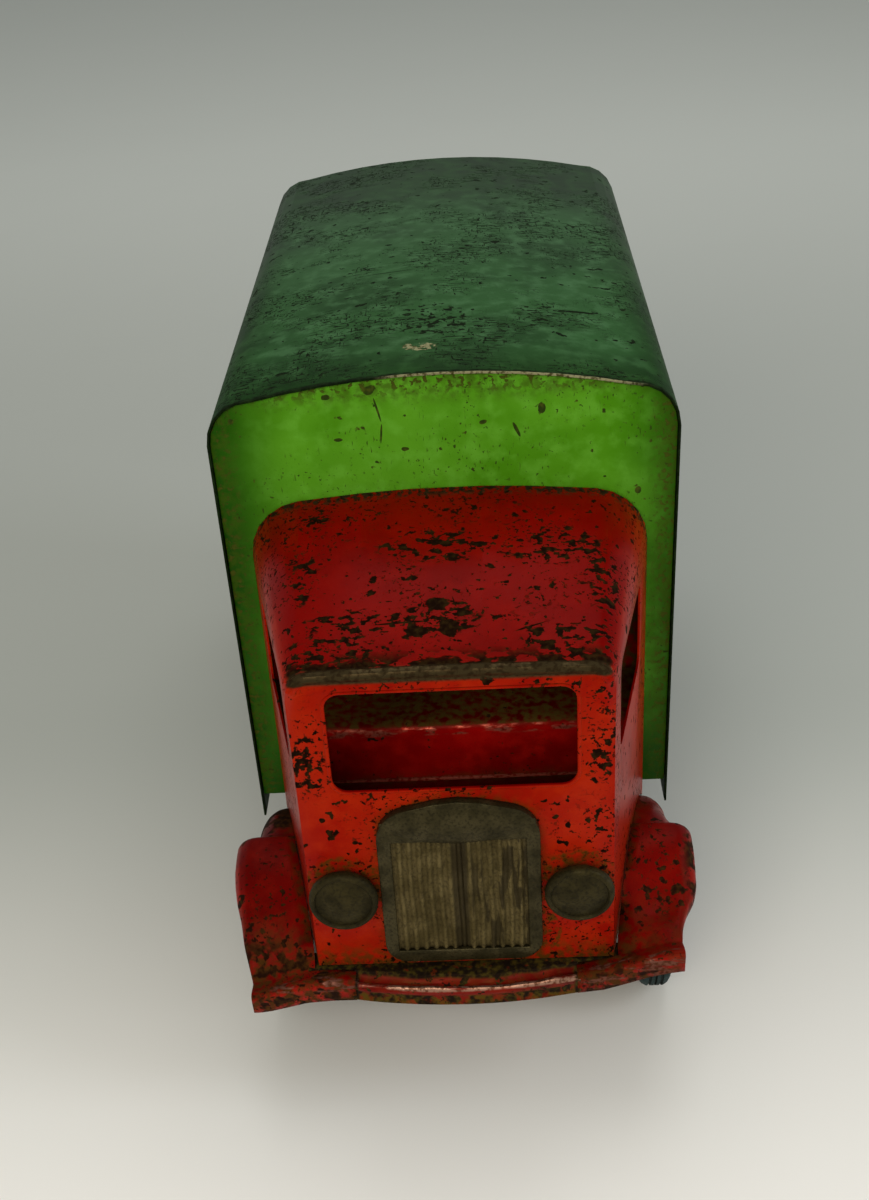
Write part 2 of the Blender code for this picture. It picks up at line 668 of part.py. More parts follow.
def make_grille_core():
    """The ribbed plate inside the surround, drawn from above and pulled up its height."""
    half = CORE_WIDTH / 2 - SEAT_GAP
    pitch = 2 * half / RIB_COUNT
    back = CAB_FACE_Y - SEAT_GAP
    outline = [(half, back), (-half, back)]
    for rib in range(RIB_COUNT):
        left = -half + rib * pitch
        for share, depth in ((0.0, 0.0), (0.2, RIB_DEPTH), (0.7, RIB_DEPTH), (0.9, 0.0)):
            outline.append((left + share * pitch, back - CORE_DEPTH + RIB_DEPTH - depth))
    outline.append((half, back - CORE_DEPTH + RIB_DEPTH))
    height = CORE_TOP - CORE_FOOT - 2 * SEAT_GAP
    core = flat_curve([outline], height)
    core.location.z = (CORE_TOP + CORE_FOOT) / 2
    keep(core, "grille_core", DULL_STEEL)


def make_headlamps():
    """Two domed discs, each on a short stem that stands it off the cab's face."""
    rim = LAMP_STANDOFF + LAMP_DEPTH * 0.45
    top = LAMP_STANDOFF + LAMP_DEPTH
    profile = [(0.0, top)]
    for share in (0.3, 0.55, 0.75, 0.9, 0.98):
        sag = (top - rim) * (1.0 - math.sqrt(1.0 - share ** 2))
        profile.append((LAMP_RADIUS * share, top - sag))
    profile += [
        (LAMP_RADIUS, LAMP_STANDOFF + SHEET),
        (LAMP_RADIUS - SHEET, LAMP_STANDOFF),
        (LAMP_STEM_RADIUS, LAMP_STANDOFF),
        (LAMP_STEM_RADIUS, SEAT_GAP),
        (0.0, SEAT_GAP),
    ]
    for side, name in ((-1, "headlamp_left"), (1, "headlamp_right")):
        lamp = turned(profile, closed=False)
        lamp.rotation_euler = (math.pi / 2, 0.0, 0.0)
        lamp.location = (side * LAMP_SPACING / 2, CAB_FACE_Y, LAMP_HEIGHT)
        keep(lamp, name, DULL_STEEL)


def wing_path():
    """The wing from the foot of its flange, over the rolled edge, and up to its crest, as (y, z)."""
    front = CAB_FACE_Y - BUMPER_REACH + BUMPER_BOW
    roll = BUMPER_ROLL
    lip_z = BUMPER_HEIGHT - roll
    path = [(front + 0.4 * roll, lip_z - BUMPER_FLANGE)]
    path += arc((front + roll, lip_z), roll, 180, 90, 3)
    path.append((CAB_FACE_Y - 2 * SHEET, WING_TOE_HEIGHT))
    crest_y = CAB_FACE_Y + WING_CREST_SETBACK
    start_y = CAB_FACE_Y - SHEET
    for step in range(9):
        share = step / 8
        rise = math.sin(share * math.pi / 2) ** 1.15
        y = start_y + (crest_y - start_y) * share
        path.append((y, WING_TOE_HEIGHT + (WING_CREST_HEIGHT - WING_TOE_HEIGHT) * rise))
    guard_front = math.radians(GUARD_FRONT_ANGLE)
    guard_y = FRONT_AXLE_Y + GUARD_RADIUS * math.sin(guard_front) + SEAT_GAP
    guard_z = AXLE_Z + (GUARD_RADIUS + SHEET) * math.cos(guard_front)
    path.append((crest_y + 1.6 * MM, WING_CREST_HEIGHT - 1.2 * MM))
    path.append((guard_y, guard_z))
    return path


def wing_inner_x(y):
    """The wing's inner edge follows the cab's side and then reaches in to the bumper."""
    if y < CAB_FACE_Y - 1.5 * SHEET:
        return BUMPER_HALF_LENGTH + SEAT_GAP
    return cab_half_width(max(y, CAB_FACE_Y + CAB_CORNER_RADIUS)) + 2 * SEAT_GAP


def wing_sections():
    path = wing_path()
    toe_y = CAB_FACE_Y - 2 * SHEET
    crest_y = CAB_FACE_Y + WING_CREST_SETBACK
    sections = []
    for index, (y, z) in enumerate(path):
        before = path[max(index - 1, 0)]
        after = path[min(index + 1, len(path) - 1)]
        run = math.hypot(after[0] - before[0], after[1] - before[1])
        inward = ((after[1] - before[1]) / run, -(after[0] - before[0]) / run)
        if y > crest_y - SHEET:
            inward = (0.0, -1.0)
        share = min(max((y - toe_y) / (crest_y - toe_y), 0.0), 1.0)
        half = WING_FOOT_HALF_WIDTH + (WING_HALF_WIDTH - WING_FOOT_HALF_WIDTH) * min(2.0 * share, 1.0)
        radius = 0.5 * MM + (WING_SHOULDER - 0.5 * MM) * min(1.6 * share, 1.0)
        skirt = 0.3 * MM + WING_SKIRT * min(1.6 * share, 1.0)
        inner = wing_inner_x(y)
        section = [(inner, y, z), ((inner + half - radius) / 2, y, z)]
        for across, down in arc((half - radius, radius), radius, -90, 0, 4):
            section.append((across, y + inward[0] * down, z + inward[1] * down))
        reach = radius + skirt
        section.append((half, y + inward[0] * reach, z + inward[1] * reach))
        sections.append(section)
    return sections


def make_wings():
    for side, name in ((-1, "wing_left"), (1, "wing_right")):
        wing = loft(both_sides(wing_sections(), side))
        thicken(wing, SHEET)
        keep(wing, name, CAB_RED)


def guard_section(angle):
    """The mudguard across, at an angle behind the top of the wheel; it tucks in under the cab."""
    radial = (math.sin(math.radians(angle)), math.cos(math.radians(angle)))
    centre = (GUARD_HALF_WIDTH - GUARD_SHOULDER, GUARD_RADIUS - GUARD_SHOULDER)
    y_crown = FRONT_AXLE_Y + GUARD_RADIUS * radial[0]
    inner = min(cab_half_width(y_crown) - SHEET, centre[0] - GUARD_LIP)
    profile = [(inner, GUARD_RADIUS)]
    profile += arc(centre, GUARD_SHOULDER, 90, 0, 4)
    profile.append((GUARD_HALF_WIDTH + GUARD_LIP, GUARD_RADIUS - GUARD_SHOULDER - GUARD_LIP))
    section = []
    for x, radius in profile:
        section.append((x, FRONT_AXLE_Y + radius * radial[0], AXLE_Z + radius * radial[1]))
    return section


def make_mudguards():
    """Rounded guards over the back of the front wheels."""
    steps = 9
    span = GUARD_REAR_ANGLE - GUARD_FRONT_ANGLE
    angles = [GUARD_FRONT_ANGLE + span * step / steps for step in range(steps + 1)]
    sections = [guard_section(angle) for angle in angles]
    for side, name in ((-1, "mudguard_left"), (1, "mudguard_right")):
        guard = loft(both_sides(sections, side))
        thicken(guard, SHEET)
        keep(guard, name, CAB_RED)


def bumper_section(x):
    share = x / BUMPER_HALF_LENGTH
    front = CAB_FACE_Y - BUMPER_REACH + BUMPER_BOW * share ** 2
    roll = BUMPER_ROLL
    lip_z = BUMPER_HEIGHT - roll
    profile = [(front + 0.4 * roll, lip_z - BUMPER_FLANGE)]
    profile += arc((front + roll, lip_z), roll, 180, 90, 4)
    profile.append((CAB_FACE_Y - GRILLE_DEPTH - 2 * SEAT_GAP, BUMPER_HEIGHT - roll * 0.3))
    profile.append((CAB_FACE_Y - 2 * SEAT_GAP, BUMPER_HEIGHT - roll * 0.3))
    return [(x, y, z) for y, z in profile]


def make_bumper():
    steps = 8
    places = [BUMPER_HALF_LENGTH * (2.0 * step / steps - 1.0) for step in range(steps + 1)]
    bumper = loft([bumper_section(x) for x in reversed(places)])
    thicken(bumper, SHEET)
    keep(bumper, "front_bumper", CAB_RED)


def wheel_profile():
    """Hub, disc and rim in one closed outline, from the hub's outer end and round."""
    bore = AXLE_RADIUS + RUNNING_GAP
    rim_in = RIM_RADIUS - RIM_WALL
    half_hub = HUB_LENGTH / 2
    half_rim = RIM_WIDTH / 2
    half_disc = WHEEL_DISC / 2
    return [
        (bore, half_hub),
        (HUB_RADIUS * 0.8, half_hub),
        (HUB_RADIUS, half_hub - 1.2 * MM),
        (HUB_RADIUS * 1.25, half_disc),
        (rim_in - 3.0 * MM, half_disc),
        (rim_in, half_rim - 1.0 * MM),
        (RIM_RADIUS, half_rim),
        (RIM_RADIUS, -half_rim),
        (rim_in, -half_rim),
        (rim_in, -half_disc - 1.0 * MM),
        (rim_in - 3.0 * MM, -half_disc),
        (HUB_RADIUS, -half_disc),
        (HUB_RADIUS, -half_hub),
        (bore, -half_hub),
    ]


def tyre_profile():
    """A solid tyre with a flat tread and rounded shoulders, outer side from top to bottom."""
    half = TYRE_WIDTH / 2
    radius = TYRE_SHOULDER
    inner = RIM_RADIUS + SEAT_GAP
    profile = [(inner, half - 1.5 * MM), (inner + 2.0 * MM, half)]
    profile += [(r, z) for z, r in arc((half - radius, TYRE_RADIUS - radius), radius, 0, 90, 4)]
    profile += [(r, -z) for r, z in reversed(profile)]
    return profile


def make_wheels():
    places = {
        "front_left": (-1, FRONT_AXLE_Y),
        "front_right": (1, FRONT_AXLE_Y),
        "rear_left": (-1, REAR_AXLE_Y),
        "rear_right": (1, REAR_AXLE_Y),
    }
    for place, (side, y) in places.items():
        for profile, kind, finish in ((wheel_profile(), "wheel_", CAB_RED),
                                      (tyre_profile(), "tyre_", TYRE_BLACK)):
            obj = turned(profile, closed=True)
            obj.rotation_euler = (0.0, side * math.pi / 2, 0.0)
            obj.location = (side * WHEEL_TRACK / 2, y, AXLE_Z)
            keep(obj, kind + place, finish)
        make_axle_cap(side, y, place)


def make_axle_cap(side, y, place):
    """A domed cap pressed on the axle's end, which keeps the wheel on."""
    inner = HUB_OUTER_X + SEAT_GAP
    outer = inner + CAP_DEPTH
    end = inner + AXLE_END + SEAT_GAP
    bore = AXLE_RADIUS + RUNNING_GAP
    profile = [
        (0.0, outer),
        (CAP_RADIUS * 0.5, outer - CAP_DEPTH * 0.12),
        (CAP_RADIUS * 0.85, outer - CAP_DEPTH * 0.45),
        (CAP_RADIUS, inner + CAP_DEPTH * 0.2),
        (CAP_RADIUS, inner),
        (bore, inner),
        (bore, end),
        (0.0, end),
    ]
    cap = turned(profile, closed=False, steps=20)
    cap.rotation_euler = (0.0, side * math.pi / 2, 0.0)
    cap.location = (0.0, y, AXLE_Z)
    keep(cap, "axle_cap_" + place, BARE_STEEL)


def make_axles():
    """Plain axles with an upset collar behind each wheel."""
    end = HUB_OUTER_X + SEAT_GAP + AXLE_END
    collar = HUB_OUTER_X - HUB_LENGTH - SEAT_GAP
    half = [
        (0.0, end),
        (AXLE_RADIUS, end),
        (AXLE_RADIUS, collar),
        (AXLE_COLLAR_RADIUS, collar),
        (AXLE_COLLAR_RADIUS, collar - AXLE_COLLAR_WIDTH),
        (AXLE_RADIUS, collar - AXLE_COLLAR_WIDTH),
    ]
    profile = half + [(radius, -height) for radius, height in reversed(half)]
    for name, y in (("front_axle", FRONT_AXLE_Y), ("rear_axle", REAR_AXLE_Y)):
        axle = turned(profile, closed=False, steps=24)
        axle.rotation_euler = (0.0, math.pi / 2, 0.0)
        axle.location = (0.0, y, AXLE_Z)
        keep(axle, name, BARE_STEEL)


def make_rails():
    """Two channel rails, open towards each other."""
    front = CAB_FACE_Y + RAIL_FRONT_SETBACK
    rear = RAIL_REAR_Y
    outer = RAIL_WEB_HALF_SPAN
    web = outer - RAIL_SHEET
    inner = outer - RAIL_FLANGE
    foot = RAIL_FOOT_Z
    top = RAIL_TOP_Z
    for side, name in ((-1, "chassis_rail_left"), (1, "chassis_rail_right")):
        outline = [(outer, foot), (outer, top), (inner, top), (inner, top - RAIL_SHEET),
                   (web, top - RAIL_SHEET), (web, foot + RAIL_SHEET), (inner, foot + RAIL_SHEET),
                   (inner, foot)]
        curve = flat_curve([[(side * x, z) for x, z in outline]], rear - front)
        stand_across(curve, (front + rear) / 2)
        rail = mesh_from_curve(curve)
        hole = rod(HINGE_PIN_RADIUS + SEAT_GAP / 2, 2 * RAIL_FLANGE, (side * outer, HINGE_Y, HINGE_Z))
        cut(rail, keep_cutter(hole, "cut_" + name))
        keep(rail, name, CHASSIS_RED)


def make_crossmembers():
    """Strips between the rails' webs, near the nose, in the middle and near the tail."""
    height = RAIL_HEIGHT - 2 * RAIL_SHEET - 2 * SEAT_GAP
    width = 2 * (RAIL_WEB_HALF_SPAN - RAIL_SHEET - SEAT_GAP)
    places = {
        "crossmember_front": CAB_FACE_Y + RAIL_FRONT_SETBACK + CROSSMEMBER_WIDTH,
        "crossmember_middle": (FRONT_AXLE_Y + REAR_AXLE_Y) / 2,
        "crossmember_rear": HINGE_Y - HINGE_HEAD_RADIUS - CROSSMEMBER_WIDTH,
    }
    for name, y in places.items():
        channel = [[(x, y - CROSSMEMBER_WIDTH / 2, 0.0), (x, y - CROSSMEMBER_WIDTH / 2, height),
                    (x, y + CROSSMEMBER_WIDTH / 2, height), (x, y + CROSSMEMBER_WIDTH / 2, 0.0)]
                   for x in (width / 2, -width / 2)]
        strip = loft(channel)
        strip.location.z = RAIL_FOOT_Z + RAIL_SHEET + SEAT_GAP
        thicken(strip, RAIL_SHEET)
        keep(strip, name, CHASSIS_RED)


def make_axle_hangers():
    """A tapered plate outside each rail at each axle, with the axle through its foot."""
    top = RAIL_TOP_Z - RAIL_SHEET
    radius = HANGER_FOOT_RADIUS
    places = {"front_hanger": FRONT_AXLE_Y, "rear_hanger": REAR_AXLE_Y}
    for place, y in places.items():
        outline = arc((y, AXLE_Z), radius, 200, 340, 6)
        outline += [(y + HANGER_TOP_WIDTH / 2, top - 4 * MM), (y + HANGER_TOP_WIDTH / 2, top)]
        outline += [(y - HANGER_TOP_WIDTH / 2, top), (y - HANGER_TOP_WIDTH / 2, top - 4 * MM)]
        for side, suffix in ((-1, "_left"), (1, "_right")):
            x = side * (RAIL_WEB_HALF_SPAN + SEAT_GAP + HANGER_SHEET / 2)
            curve = flat_curve([outline], HANGER_SHEET)
            stand_lengthways(curve, x)
            hanger = mesh_from_curve(curve)
            hole = rod(AXLE_RADIUS + RUNNING_GAP, 4 * HANGER_SHEET, (x, y, AXLE_Z))
            cut(hanger, keep_cutter(hole, "cut_" + place + suffix))
            keep(hanger, place + suffix, CHASSIS_RED)


def make_tipping_hinge():
    """Two lugs under the floor turn on a headed pin through the rails."""
    pin_end = RAIL_WEB_HALF_SPAN + 3 * SEAT_GAP + HANGER_SHEET
    profile = [
        (0.0, pin_end + HINGE_HEAD_WIDTH),
        (HINGE_HEAD_RADIUS, pin_end + HINGE_HEAD_WIDTH),
        (HINGE_HEAD_RADIUS, pin_end),
        (HINGE_PIN_RADIUS, pin_end),
    ]
    profile += [(radius, -height) for radius, height in reversed(profile)]
    pin = turned(profile, closed=False, steps=24)
    pin.rotation_euler = (0.0, math.pi / 2, 0.0)
    pin.location = (0.0, HINGE_Y, HINGE_Z)
    keep(pin, "tipping_hinge_pin", BARE_STEEL)
    inner = RAIL_WEB_HALF_SPAN + SEAT_GAP
    outer = inner + HANGER_SHEET
    top = FLOOR_Z - SEAT_GAP
    foot = HINGE_Z - HINGE_HEAD_RADIUS - 2 * MM
    for side, name in ((-1, "hinge_lug_left"), (1, "hinge_lug_right")):
        outline = [(inner, foot), (outer, foot), (outer, top - HANGER_SHEET),
                   (outer + LUG_FLANGE, top - HANGER_SHEET), (outer + LUG_FLANGE, top), (inner, top)]
        curve = flat_curve([[(side * x, z) for x, z in outline]], LUG_LENGTH)
        stand_across(curve, HINGE_Y - LUG_LENGTH / 4)
        lug = mesh_from_curve(curve)
        hole = rod(HINGE_PIN_RADIUS + RUNNING_GAP, 4 * HANGER_SHEET, (side * inner, HINGE_Y, HINGE_Z))
        cut(lug, keep_cutter(hole, "cut_" + name))
        keep(lug, name, DARK_GREEN)


def stand_on_ground():
    """Lower the finished lorry until its tyres stand on z = 0."""
    for obj in list(PARTS.objects) + list(CUTTERS.objects):
        obj.location.z -= GROUND_Z


# Finishes: linear colour, roughness, metallic
DARK_GREEN = ((0.028, 0.085, 0.060), 0.45, 0.0)
BRIGHT_GREEN = ((0.060, 0.270, 0.020), 0.45, 0.0)
CAB_RED = ((0.360, 0.022, 0.010), 0.40, 0.0)
INNER_RED = ((0.200, 0.008, 0.006), 0.45, 0.0)
CHASSIS_RED = ((0.160, 0.012, 0.008), 0.50, 0.0)
DULL_STEEL = ((0.110, 0.095, 0.070), 0.55, 0.7)
BARE_STEEL = ((0.220, 0.210, 0.190), 0.45, 0.9)
TYRE_BLACK = ((0.012, 0.017, 0.018), 0.75, 0.0)

clear_scene()
PARTS = new_collection("toy_tipping_lorry")
CUTTERS = new_collection("cutters")

make_body_shell()
make_body_front()
make_body_floor()
make_rear_header()
make_tailgate()
make_tailgate_pivots()
make_cab_shell()
make_cab_seat()
make_grille_surround()
make_grille_core()
make_headlamps()
make_wings()
make_mudguards()
make_bumper()
make_wheels()
make_axles()
make_rails()
make_crossmembers()
make_axle_hangers()
make_tipping_hinge()
stand_on_ground()
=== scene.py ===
# %% [markdown]
# # A worn tin tipping lorry
#
# The toy is a pre-war style lorry pressed from thin steel sheet and painted with stoving enamel:
# a red cab with wings and a bumper, and a green box body that tips. It has been played with for
# decades, so every edge is rubbed, the paint is chipped, and dirt has settled in the corners.
# The corners are darkened for that dirt and as painted shade together.
# The imported CAD model gives the size and place of each pressing. These cells round its edges,
# remake the pieces that need finer shape, and give each one its own worn finish.

# %% Load the frame
import json
import math

import bpy
from mathutils import Matrix, Vector

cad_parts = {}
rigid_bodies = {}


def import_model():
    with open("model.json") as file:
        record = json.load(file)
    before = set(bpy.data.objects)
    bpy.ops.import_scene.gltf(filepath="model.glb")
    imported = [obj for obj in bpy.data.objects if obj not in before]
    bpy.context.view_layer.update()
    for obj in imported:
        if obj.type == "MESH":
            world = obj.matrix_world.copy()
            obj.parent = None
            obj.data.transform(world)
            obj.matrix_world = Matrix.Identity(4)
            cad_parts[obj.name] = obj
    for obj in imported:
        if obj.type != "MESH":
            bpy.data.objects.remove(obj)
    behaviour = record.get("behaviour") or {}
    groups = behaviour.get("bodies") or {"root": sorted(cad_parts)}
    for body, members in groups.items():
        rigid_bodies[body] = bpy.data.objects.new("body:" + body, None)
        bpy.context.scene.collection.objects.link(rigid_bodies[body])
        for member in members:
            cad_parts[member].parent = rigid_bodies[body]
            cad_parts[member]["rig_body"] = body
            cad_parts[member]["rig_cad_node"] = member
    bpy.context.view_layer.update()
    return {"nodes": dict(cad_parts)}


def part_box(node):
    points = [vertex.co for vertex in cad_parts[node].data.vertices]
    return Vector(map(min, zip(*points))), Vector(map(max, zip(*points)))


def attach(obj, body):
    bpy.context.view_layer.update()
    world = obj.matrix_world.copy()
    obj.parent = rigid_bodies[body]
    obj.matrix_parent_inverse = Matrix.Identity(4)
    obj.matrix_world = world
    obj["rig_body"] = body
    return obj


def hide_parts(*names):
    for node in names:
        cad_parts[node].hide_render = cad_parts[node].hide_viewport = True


MM = 0.001
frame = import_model()
nodes = frame["nodes"]

# %% [markdown]
# ## Camera
#
# A lorry on a table is seen from a little above its roof, nose towards the viewer. A camera
# could be aimed with a Track To constraint, but it also leans a little to one side, so three
# turns are set one after the other: round the upright axis, then down, then the lean.

# %% Camera
CAMERA_PLACE = Vector((15.05, -580.4, 463.6)) * MM
CAMERA_TURNS = (("Z", 2.52), ("X", -31.483), ("Y", 3.728))
LOOK_ALONG_Y = Matrix.Rotation(math.radians(90), 3, "X")

turn = Matrix.Identity(3)
for axis, degrees in CAMERA_TURNS:
    turn = turn @ Matrix.Rotation(math.radians(degrees), 3, axis)
bpy.ops.object.camera_add(location=CAMERA_PLACE, rotation=(turn @ LOOK_ALONG_Y).to_euler())
camera = bpy.context.object
camera.data.lens = 45.777
camera.data.clip_start = 0.01
bpy.context.scene.camera = camera
print("camera is", round(camera.location.length, 3), "m from the middle of the footprint")

# %% [markdown]
# ## One way to add nodes
#
# A material is a tree of nodes. Adding a node, setting its properties and joining its sockets
# takes several lines each time, so one small function does all three. Colours are written as
# the hex values that a paint card gives, and turned to the linear values that Blender mixes.


# %% Node and colour helpers
def add(tree, kind, settings=None, inputs=None):
    """Adds a node, sets its properties, and fills or links its sockets."""
    made = tree.nodes.new(kind)
    for name, value in (settings or {}).items():
        setattr(made, name, value)
    for name, value in (inputs or {}).items():
        if isinstance(value, bpy.types.NodeSocket):
            tree.links.new(value, made.inputs[name])
        else:
            made.inputs[name].default_value = value
    return made


def linear(hex_colour):
    """An sRGB hex colour as linear red, green, blue and alpha."""
    shares = [int(hex_colour[at:at + 2], 16) / 255 for at in (1, 3, 5)]
    bent = [c / 12.92 if c <= 0.04045 else ((c + 0.055) / 1.055) ** 2.4 for c in shares]
    return (*bent, 1.0)


def new_material(name):
    """An empty material, its tree, its shader and the place on the object in metres."""
    material = bpy.data.materials.new(name)
    material.use_nodes = True
    tree = material.node_tree
    shader = tree.nodes["Principled BSDF"]
    place = add(tree, "ShaderNodeTexCoord").outputs["Object"]
    return material, tree, shader, place


MIX_A, MIX_B, MIX_OUT = 6, 7, 2    # colour sockets of a Mix node
print("white is", linear("#FFFFFF"))

# %% [markdown]
# ## Floor and light
#
# The toy stands on a plain pale cloth-covered table. A white plane is enough, made large so
# that its edge stays out of sight. Its colour carries painted shade: grey behind the toy, where
# the cloth gets less light, and painted paler again far off. Soft light comes from a wide lamp
# in front and above, a weaker one at the right that draws the long pale reflections down the
# sides, and the pale room.

# %% Floor
FLOOR_SPAN = 6.0    # metres
bpy.ops.object.select_all(action="DESELECT")
bpy.ops.mesh.primitive_plane_add(size=FLOOR_SPAN, location=(0, 0, -0.2 * MM))
floor = bpy.context.object
floor.name = "table_top"
material, tree, shader, place = new_material("matt_white_table_cloth_painted_shade")
depth = add(tree, "ShaderNodeSeparateXYZ", None, {0: place}).outputs["Y"]
# Painted shade: the cloth turns grey behind the toy, then paler again far off.
painted_shade_behind = add(tree, "ShaderNodeMapRange", {"interpolation_type": "SMOOTHSTEP"},
             {"Value": depth, "From Min": -0.30, "From Max": 0.08}).outputs[0]
painted_light_far_off = add(tree, "ShaderNodeMapRange", {"interpolation_type": "SMOOTHSTEP"},
              {"Value": depth, "From Min": 0.35, "From Max": 1.20}).outputs[0]
folds = add(tree, "ShaderNodeTexNoise", None,
            {"Vector": place, "Scale": 1 / (160 * MM), "Detail": 2.0}).outputs[0]
shaded = add(tree, "ShaderNodeMix", {"data_type": "RGBA"},
             {0: painted_shade_behind, MIX_A: linear("#F0EEE8"), MIX_B: linear("#A8ABA4")})
tone = add(tree, "ShaderNodeMix", {"data_type": "RGBA"},
           {0: painted_light_far_off, MIX_A: shaded.outputs[MIX_OUT], MIX_B: linear("#C6C9C2")})
bump = add(tree, "ShaderNodeBump", None, {"Strength": 0.25, "Distance": 6 * MM, "Height": folds})
tree.links.new(tone.outputs[MIX_OUT], shader.inputs["Base Color"])
tree.links.new(bump.outputs[0], shader.inputs["Normal"])
shader.inputs["Roughness"].default_value = 0.9
floor.data.materials.append(material)

# %% Lights
world = bpy.data.worlds.new("pale_room")
world.use_nodes = True
world.node_tree.nodes["Background"].inputs["Color"].default_value = linear("#E8ECEA")
world.node_tree.nodes["Background"].inputs["Strength"].default_value = 0.42
bpy.context.scene.world = world
bpy.context.scene.view_settings.view_transform = "Standard"

# name, place, what it faces, width and height in metres, watts, colour
LAMPS = (
    ("front_window", (-0.35, -1.75, 1.25), (0, 0, 0.10), 1.5, 0.9, 24.0, "#FFF6E8"),
    ("right_window", (1.45, -0.35, 0.75), (0, 0, 0.12), 0.45, 1.3, 9.0, "#F2F6FF"),
    ("ceiling", (0.1, 0.5, 1.9), (0, 0, 0.1), 1.2, 1.2, 10.0, "#FFFFFF"),
)
for name, at, target, width, height, watts, colour in LAMPS:
    bpy.ops.object.light_add(type="AREA", location=at)
    lamp = bpy.context.object
    lamp.name = name
    lamp.rotation_euler = (Vector(target) - Vector(at)).to_track_quat("-Z", "Y").to_euler()
    lamp.data.shape = "RECTANGLE"
    lamp.data.size = width
    lamp.data.size_y = height
    lamp.data.energy = watts
    lamp.data.color = linear(colour)[:3]
    print(name, "gives", watts, "W")

# %% [markdown]
# ## What wear is made of
#
# Old enamel shows the same few marks everywhere: paint worn through along edges, dirt in the
# corners, chips where the toy was knocked, and scratches. The corners are darkened as painted
# shade as well as dirt. Each mark is a mask from 0 to 1.
# Painting an image would tie the marks to one view and one mesh, so they are worked out from
# the place on the object instead, with sizes in millimetres.


# %% Masks from patterns
def flecks(tree, place, size, low, high, stretch=(1, 1, 1), detail=3.0):
    """Irregular spots: where a noise whose features are about size millimetres passes low."""
    shrunk = add(tree, "ShaderNodeMapping", {"vector_type": "TEXTURE"},
                 {"Vector": place, "Scale": stretch}).outputs[0]
    noise = add(tree, "ShaderNodeTexNoise", None,
                {"Vector": shrunk, "Scale": 1 / (size * MM), "Detail": detail}).outputs[0]
    return add(tree, "ShaderNodeMapRange", {"interpolation_type": "SMOOTHSTEP"},
               {"Value": noise, "From Min": low, "From Max": high}).outputs[0]


def rubbed_edges(tree, radius, low, high):
    """Corners that a hand rubs: where a rounded normal leaves the true one."""
    rounded = add(tree, "ShaderNodeBevel", {"samples": 4}, {"Radius": radius * MM}).outputs[0]
    true = add(tree, "ShaderNodeNewGeometry").outputs["Normal"]
    same = add(tree, "ShaderNodeVectorMath", {"operation": "DOT_PRODUCT"},
               {0: rounded, 1: true}).outputs["Value"]
    return add(tree, "ShaderNodeMapRange", {"interpolation_type": "SMOOTHSTEP"},
               {"Value": same, "From Min": high, "From Max": low}).outputs[0]


def creases_in_shade(tree, reach):
    """Creases where the sky is hidden within reach millimetres: dirt, and painted shade."""
    open_sky = add(tree, "ShaderNodeAmbientOcclusion", {"samples": 6},
                   {"Distance": reach * MM}).outputs["AO"]
    return add(tree, "ShaderNodeMapRange", {"interpolation_type": "SMOOTHSTEP"},
               {"Value": open_sky, "From Min": 0.95, "From Max": 0.35}).outputs[0]


# %% Masks at a place
def spot(tree, place, middle, radii, ragged=0.45, turned_by=(0, 0, 0)):
    """One mark with a ragged outline, its middle and radii in millimetres."""
    size = [radius * MM for radius in radii]
    local = add(tree, "ShaderNodeMapping", {"vector_type": "TEXTURE"},
                {"Vector": place, "Location": [value * MM for value in middle], "Scale": size,
                 "Rotation": turned_by})
    reach = add(tree, "ShaderNodeVectorMath", {"operation": "LENGTH"},
                {0: local.outputs[0]}).outputs["Value"]
    noise = (tree.nodes.get("ragged_outline")
             or add(tree, "ShaderNodeTexNoise", {"name": "ragged_outline"},
                    {"Vector": place, "Scale": 1 / (3.4 * MM), "Detail": 4.0})).outputs[0]
    edge = add(tree, "ShaderNodeMath", {"operation": "MULTIPLY_ADD"},
               {0: noise, 1: 2 * ragged, 2: reach}).outputs[0]
    return add(tree, "ShaderNodeMapRange", {"interpolation_type": "SMOOTHSTEP"},
               {"Value": edge, "From Min": 1.0 + ragged, "From Max": 0.88 + ragged}).outputs[0]


def combined(tree, operation, masks):
    """Several masks made one: MAXIMUM keeps all of them, MULTIPLY what they share."""
    result = masks[0]
    for mask in masks[1:]:
        result = add(tree, "ShaderNodeMath", {"operation": operation, "use_clamp": True},
                     {0: result, 1: mask}).outputs[0]
    return result


def band(tree, place, axis, start, full):
    """Rises from 0 at start to 1 at full, both in millimetres along an axis."""
    along = add(tree, "ShaderNodeSeparateXYZ", None, {0: place}).outputs[axis]
    return add(tree, "ShaderNodeMapRange", {"interpolation_type": "SMOOTHSTEP"},
               {"Value": along, "From Min": start * MM, "From Max": full * MM}).outputs[0]


def coats(tree, colour, *layers):
    """A colour with layers laid over it in turn, each a mask and the colour that it shows."""
    for mask, over in layers:
        mixed = add(tree, "ShaderNodeMix", {"data_type": "RGBA"},
                    {0: mask, MIX_A: colour, MIX_B: over})
        colour = mixed.outputs[MIX_OUT]
    return colour


def faded(tree, mask, strength):
    """A mask that covers only a share of what is under it."""
    return combined(tree, "MULTIPLY", [mask, strength])


def made(marks, tree, place):
    """The masks of some placed marks."""
    return [mark(tree, place) for mark in marks]


# %% [markdown]
# ## Stoving enamel on tin
#
# Stoving enamel is a glossy paint baked onto the sheet. It gives a clear colour with a soft
# shine, slightly uneven where the coat is thin. Age turns it patchy, and where it has gone the
# steel has turned brown. One function builds the coat from its colours, and takes extra masks
# for the marks that only one pressing has. It also paints shade: top faces and shade marks are
# multiplied by a shade tint.


